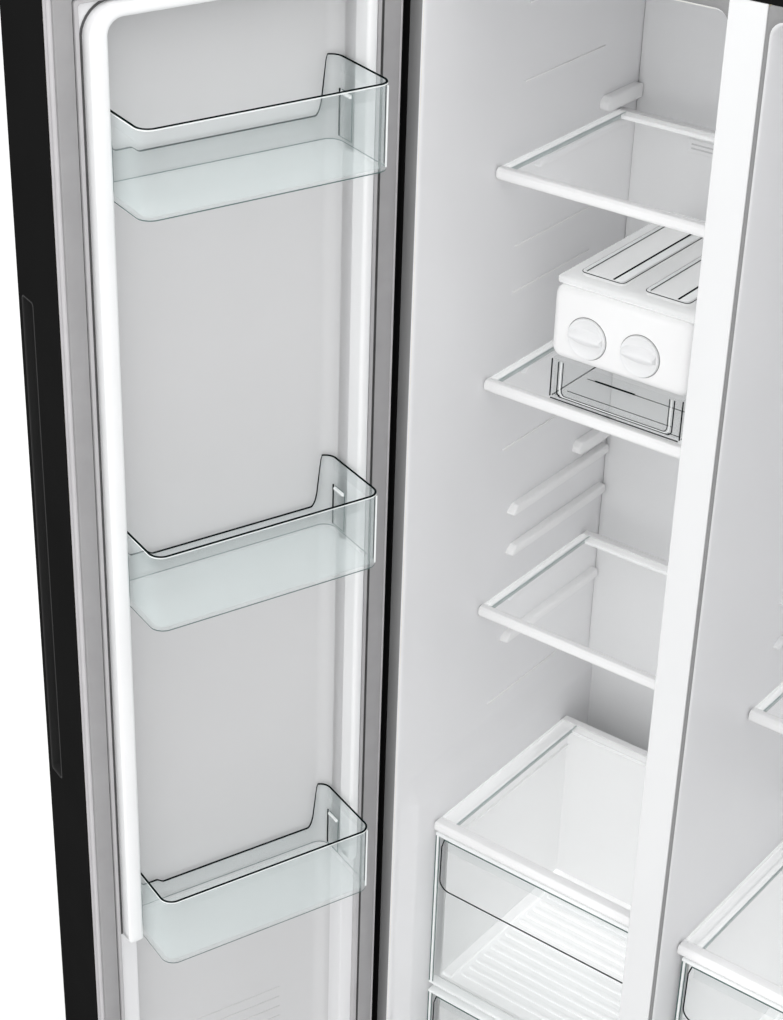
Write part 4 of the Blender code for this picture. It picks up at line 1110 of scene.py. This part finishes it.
def freezer_drawer(label):
    tray = Box(f"freezer_drawer_{label}")
    body = f"freezer_drawer_{label}"
    shape = Shape()
    # The floor and ribs take the whiter glowing copy of the drawer white, painted light.
    plain_tray(
        shape, (tray.x0, tray.y0, tray.z0), (tray.x1, tray.y1, tray.z1), 0.0025, 0.004, 0.003, 0, 1
    )
    open_front(shape, tray.y0, tray.z0)
    floor_ribs(shape, tray.x0, tray.x1, tray.y0, tray.y1, tray.z0, 1)
    ledge = tray.z1 - 0.022
    for x0, x1 in ((tray.x0 + 0.002, tray.x0 + 0.006), (tray.x1 - 0.006, tray.x1 - 0.002)):
        shape.block((x0, tray.y0 + 0.004, ledge), (x1, tray.y1 - 0.004, ledge + 0.003), 0.001, 2, 0)
    make(body, shape, [DRAWER_WHITE, RIB_FLOOR_PAINTED_LIGHT], body)
    front = Shape()
    clear_front(front, Box(f"freezer_drawer_{label}_front"), 0)
    make(body + "_front", front, FRONT_LOOKS, body)


def crisper(label):
    b = Box(f"crisper_{label}")
    body = f"crisper_{label}"
    shape = Shape()
    # The floor and ribs take the whiter glowing copy of the drawer white, painted light.
    plain_tray(
        shape, (b.x0, b.y0 + 0.012, b.z0), (b.x1, b.y1, b.z1 - 0.004), 0.0025, 0.004, 0.003, 0, 1
    )
    open_front(shape, b.y0 + 0.012, b.z0)
    floor_ribs(shape, b.x0, b.x1, b.y0 + 0.012, b.y1, b.z0, 1)
    clear_front(shape, b, 2)
    make(body, shape, [DRAWER_WHITE, RIB_FLOOR_PAINTED_LIGHT] + FRONT_LOOKS, body)


# Ice maker


def ice_housing():
    b = Box("ice_maker_housing")
    bottom = Box("ice_bin").z1 + 0.0025
    shape = Shape()

    def panel(y, inset, corner):
        return upright(rounded(b.x0 + inset, b.x1 - inset, bottom + inset, b.z1 - inset, corner), y)

    loops = [panel(b.y0 + 0.034, 0.0, 0.012), panel(b.y0 + 0.010, 0.0, 0.012)]
    for t in (0.25, 0.5, 0.75, 1.0, 1.25, 1.571):
        back, inset = 0.010 * (1 - math.sin(t)), 0.010 * (1 - math.cos(t))
        loops.append(panel(b.y0 + back, inset, 0.012 - inset / 2))
    shape.loft(loops, 0, last=True)
    wall = 0.003
    for x0, x1 in ((b.x0 + 0.0006, b.x0 + wall), (b.x1 - wall, b.x1 - 0.0006)):
        shape.block((x0, b.y0 + 0.02, bottom), (x1, b.y1, b.z1), 0.001, 2, 1)
    shape.block((b.x0 + 0.0006, b.y1 - wall, bottom), (b.x1 - 0.0006, b.y1, b.z1), 0.001, 2, 1)
    for x0, x1 in ((b.x0 + 0.0006, b.x0 + 0.012), (b.x1 - 0.012, b.x1 - 0.0006)):
        shape.block((x0, b.y1 - 0.020, b.z0), (x1, b.y1, bottom + 0.01), 0.002, 2, 1)
    # The fine groove round each knob
    for x in KNOBS:
        ring = [(0.0246, 0.0002), (0.0243, -0.0003), (0.0238, -0.0003), (0.0235, 0.0002)]
        shape.turned(ring, (x, b.y0, KNOB_Z), "Y", 64, 2)
    make("ice_maker_housing", shape, [RAIL_WHITE, RAIL_WHITE, SEAM], "cabinet")
    return b


def ice_lid():
    """A clear lid with a long raised window over each tray."""
    lid = Box("ice_maker_lid")
    top = lid.z1
    shape = Shape()
    far = (lid.x1 - 0.001, lid.y1, top - 0.0045)
    shape.block((lid.x0 + 0.001, lid.y0, lid.z0), far, 0.003, 3, 0)
    for centre in LID_WINDOWS:
        x0, x1 = centre - 0.027, centre + 0.027
        y0, y1 = lid.y0 + 0.016, lid.y1 - 0.020
        rows = []
        for inset, drop in ((0.0, 0.0050), (0.0, 0.0014), (0.0006, 0.0004), (0.0016, 0)):
            outline = rounded(x0 + inset, x1 - inset, y0 + inset, y1 - inset, 0.007)
            rows.append(flat(outline, top - drop))
        shape.loft(rows, 0)
        inner = []
        for inset, z in ((0.0016, top), (0.0026, top - 0.0004), (0.0034, top - 0.0030)):
            inner.append(flat(rounded(x0 + inset, x1 - inset, y0 + inset, y1 - inset, 0.006), z))
        # The window's inner wall and the block beside it are painted highlight; the tubes are
        # painted shade lines.
        shape.loft(inner, 2)
        shape.loft([inner[-1], [(x, y, z - 0.0001) for x, y, z in inner[-1]]], 3, first=True)
        for inset, z, radius in ((0.0002, top - 0.0012, 0.0005), (0.0036, top - 0.0027, 0.0005)):
            outline = rounded(x0 + inset, x1 - inset, y0 + inset, y1 - inset, 0.0065)
            shape.tube([(x, y, z) for x, y in outline] + [(*outline[0], z)], radius, 6, 1)
        x = centre + 0.011
        shape.tube([(x, y0 + 0.004, top - 0.0022), (x, y1 - 0.004, top - 0.0022)], 0.0009, 8, 1)
        far = (x1 - 0.005, y1 - 0.006, top - 0.0018)
        shape.block((x + 0.002, y0 + 0.006, top - 0.0034), far, 0.0006, 2, 2)
    looks = [LID, EDGE_SHADE, EDGE_HIGHLIGHT, GLASS]
    make("ice_maker_lid", shape, looks, "cabinet")


CUP = ((0.0, 0.0108), (0.001, 0.0100), (0.003, -0.004), (0.006, -0.0085), (0.010, -0.0095))


def ice_tray(label, x, front):
    """A twist tray with its knob: a shallow dish crossed by a broad finger ridge."""
    node = f"ice_tray_{label}"
    back = Box(node).y1
    shape = Shape()
    radius = 0.0234
    profile = [(radius, -0.0002), (radius, -0.0020), (radius - 0.0006, -0.0028)]
    profile += [(radius - 0.0016, -0.0028), (radius - 0.0030, -0.0018), (radius - 0.0050, -0.0008)]
    profile.append((0.0, -0.0006))
    shape.turned(profile, (x, front, KNOB_Z), "Y", 64, 0)
    loops = []
    ridge = (
        (-0.0005, 0.0205, 0.0096),
        (-0.0040, 0.0203, 0.0072),
        (-0.0068, 0.0198, 0.0044),
        (-0.0082, 0.0190, 0.0018),
        (-0.0086, 0.0180, 0.0004),
    )
    for depth, reach, half in ridge:
        up = [(-1 + 2 * i / 12, 1) for i in range(13)]
        loop = []
        for share, sign in up + [(-s, -1) for s, _ in up]:
            rise = half * (0.55 + 0.45 * (1 - share * share))
            loop.append((x + share * reach, front + depth, KNOB_Z + 0.0015 + sign * rise))
        loops.append(loop)
    shape.loft(loops, 0, last=True)
    for side in (-1, 1):
        edge = x + side * 0.0270
        end = (edge + 0.001, back, KNOB_Z + 0.011)
        shape.block((edge - 0.001, front + 0.012, KNOB_Z + 0.008), end, 0.0008, 2, 0)
    for row in range(5):
        for side in (-1, 1):
            cx, cy = x + side * 0.0135, front + 0.034 + row * 0.0395
            rows = []
            for inset, z in CUP:
                half_x, half_y = 0.0128 - inset, 0.0188 - inset
                corner = max(0.006 - inset * 0.3, 0.002)
                outline = rounded(cx - half_x, cx + half_x, cy - half_y, cy + half_y, corner, 4)
                rows.append(flat(outline, KNOB_Z + z))
            shape.loft(rows, 0, last=True)
    make(node, shape, [WHITE], node)


def ice_bin():
    c = Box("ice_bin")
    shape = Shape()
    plain_tray(shape, (c.x0, c.y0, c.z0), (c.x1, c.y1, c.z1), 0.0022, 0.006, 0.003, 0)
    y = c.y0 - 0.0002
    # The pull frame standing on the front, with round low corners, drawn in painted shade and
    # highlight lines
    for inset, radius, slot in ((0.010, 0.0007, 1), (0.0135, 0.0008, 2), (0.016, 0.0005, 1)):
        x0, x1, low, corner = c.x0 + inset, c.x1 - inset, c.z0 + 0.002 + inset * 0.35, 0.006
        path = [(x0, y, c.z1 - 0.002), (x0, y, low + corner)]
        for i in range(1, 5):
            t = math.pi + math.pi / 2 * i / 5
            path.append((x0 + corner * (1 + math.cos(t)), y, low + corner * (1 + math.sin(t))))
        path += [(x0 + x1 - p, q, r) for p, q, r in reversed(path)]
        shape.tube(path, radius, 8, slot)
    # Edges and floor lines seen through the clear walls, drawn as painted shade lines
    for depth, up, inset in (
        (0.006, 0.004, 0.004), (0.060, 0.004, 0.012), (0.012, 0.009, 0.016), (0.150, 0.006, 0.006)
    ):
        y1, z = c.y0 + depth, c.z0 + up
        shape.tube([(c.x0 + inset, y1, z), (c.x1 - inset, y1, z)], 0.0005, 8, 1)
    for x in (c.x0 + 0.0007, c.x1 - 0.0007):
        y1, z = c.y0 + 0.0012, c.z0 + 0.002
        shape.tube([(x, y1, c.z0 + 0.003), (x, y1, c.z1 - 0.001)], 0.0008, 8, 1)
        shape.tube([(x, c.y0 + 0.006, z), (x, c.y1 - 0.006, z)], 0.0007, 8, 1)
    for inset, y1, z, radius in (
        (0.002, y + 0.0006, c.z0 + 0.0012, 0.0007),
        (0.058, y - 0.0006, c.z1 - 0.010, 0.0010),
    ):
        shape.tube([(c.x0 + inset, y1, z), (c.x1 - inset, y1, z)], radius, 8, 1)
    make("ice_bin", shape, [PALE_CLEAR, EDGE_SHADE, EDGE_HIGHLIGHT], "ice_bin")


def ice_maker():
    housing = ice_housing()
    ice_lid()
    for label, x in zip(("left", "right"), KNOBS):
        ice_tray(label, x, housing.y0)
    ice_bin()


LID_WINDOWS = (-0.2888, -0.2098)
KNOBS = (-0.2888, -0.2228)
KNOB_Z = 1.306


# Air parts, machine room, hinges


def duct_panel():
    b = Box("freezer_duct_panel")
    front = b.y0
    shape = Shape()
    outline = [
        (b.x0, front + 0.004),
        (b.x0 + 0.008, front),
        (b.x1 - 0.008, front),
        (b.x1, front + 0.004),
        (b.x1, front + 0.012),
        (b.x0, front + 0.012),
    ]
    shape.prism(outline, "Z", b.z0, b.z1)
    middle = (b.x0 + b.x1) / 2
    for height in (1.432, 0.450):
        for side in (-1, 1):
            cx = middle + side * 0.055
            low = (cx - 0.034, front - 0.0020, height - 0.004)
            high = (cx + 0.034, front + 0.002, height + 0.012)
            shape.block(low, high, 0.0018, 3, 0)
            for k in range(2):
                z = height + 0.0002 + k * 0.0050
                slit = (cx + 0.029, front, z + 0.0024)
                shape.block((cx - 0.029, front - 0.0023, z), slit, 0.0005, 1, 1)
    make("freezer_duct_panel", shape, [WHITE, VENT], "cabinet")

    b = Box("fridge_duct_panel")
    shape = Shape()
    shape.block((b.x0, b.y0, b.z0), (b.x1, b.y1, b.z1), 0.006, 4, 0)
    for height in (0.80, 1.10, 1.45):
        for side in (0, 1):
            x0, x1 = 0.125 + 0.08 * side, 0.165 + 0.08 * side
            for k in range(3):
                z = height + 0.001 + k * 0.0055
                shape.block((x0, b.y0 - 0.0004, z), (x1, b.y0 + 0.002, z + 0.003), 0.0006, 1, 1)
    make("fridge_duct_panel", shape, [LINER, SEAM], "cabinet")


def hinges():
    for label in ("left", "right"):
        c = Box(f"hinge_cover_{label}")
        shape = Shape()
        loops = [flat(rounded(c.x0, c.x1, c.y0, c.y1, 0.009), c.z0)]
        for inset, drop in ((0, 0.005), (0.0006, 0.003), (0.0020, 0.001), (0.005, 0)):
            outline = rounded(c.x0 + inset, c.x1 - inset, c.y0 + inset, c.y1 - inset, 0.009)
            loops.append(flat(outline, c.z1 - drop))
        shape.loft(loops, 0, first=True, last=True)
        shape.turned(SCREW, ((c.x0 + c.x1) / 2, 0.045, c.z1 - 0.0016), "Z", 20, 1)
        make(f"hinge_cover_{label}", shape, [BLACK_PLASTIC, ZINC], "cabinet")


def dress_cad():
    """Finishes for the CAD nodes that show as they are."""
    looks = {
        "cabinet_foam": FOAM,
        "freezer_door_foam": FOAM,
        "fridge_door_foam": FOAM,
        "base_tray": ZINC,
        "compressor": ENAMEL,
        "condenser": ENAMEL,
        "condenser_fan": DARK,
        "evaporator": ALUMINIUM,
        "evaporator_fan": DARK,
        "machine_cover": ZINC,
        "top_hinge_left": ZINC,
        "top_hinge_right": ZINC,
        "bottom_hinge_left": ZINC,
        "bottom_hinge_right": ZINC,
        "front_foot_left": DARK,
        "front_foot_right": DARK,
        "rear_roller_left": DARK,
        "rear_roller_right": DARK,
    }
    for node, finish in looks.items():
        obj = frame["nodes"][node]
        obj.data.materials.clear()
        obj.data.materials.append(finish)


def studio():
    floor = bpy.data.meshes.new("floor")
    floor.from_pydata([(-8, -8, 0), (8, -8, 0), (8, 8, 0), (-8, 8, 0)], [], [(0, 1, 2, 3)])
    plane = bpy.data.objects.new("floor", floor)
    bpy.context.scene.collection.objects.link(plane)
    floor.materials.append(
        look("pale_floor", (0.90, 0.90, 0.90), (0.92, 0.92, 0.92), (0.6, 0.7), scale=3, bump=0.02)
    )
    world = bpy.data.worlds.new("studio")
    world.use_nodes = True
    sky = world.node_tree.nodes["Background"]
    sky.inputs["Color"].default_value = (1, 1, 1, 1)
    sky.inputs["Strength"].default_value = 1.15
    bpy.context.scene.world = world
    for name, place, aim, size, power in (
        ("key", (2.4, -3.0, 3.2), (0, 0.2, 0.9), 2.6, 14),
        ("fill", (-2.2, -3.0, 2.4), (0, 0.1, 0.9), 2.2, 18),
        ("top", (0.2, -0.9, 3.9), (0, 0.1, 0.9), 2.6, 20),
        ("rear", (0.6, 3.2, 2.6), (0, 0.2, 0.9), 2.4, 26),
    ):
        data = bpy.data.lights.new(name, "AREA")
        data.energy = power
        data.size = size
        lamp = bpy.data.objects.new(name, data)
        bpy.context.scene.collection.objects.link(lamp)
        lamp.location = place
        direction = Vector(aim) - Vector(place)
        lamp.rotation_euler = direction.to_track_quat("-Z", "Y").to_euler()
    bpy.context.scene.view_settings.view_transform = "Standard"


cabinet_pieces()
liners()
for shelf_number in (1, 2, 3):
    shelf(f"freezer_shelf_{shelf_number}")
for shelf_number in (1, 2):
    shelf(f"fridge_shelf_{shelf_number}")
shelf("freezer_drawer_cover", "cover")
shelf("crisper_cover", "cover")
for drawer_label in ("upper", "lower"):
    freezer_drawer(drawer_label)
    crisper(drawer_label)
ice_maker()
duct_panel()
hinges()
door("freezer_door", "freezer_door")
door("fridge_door", "fridge_door")
dress_cad()
studio()
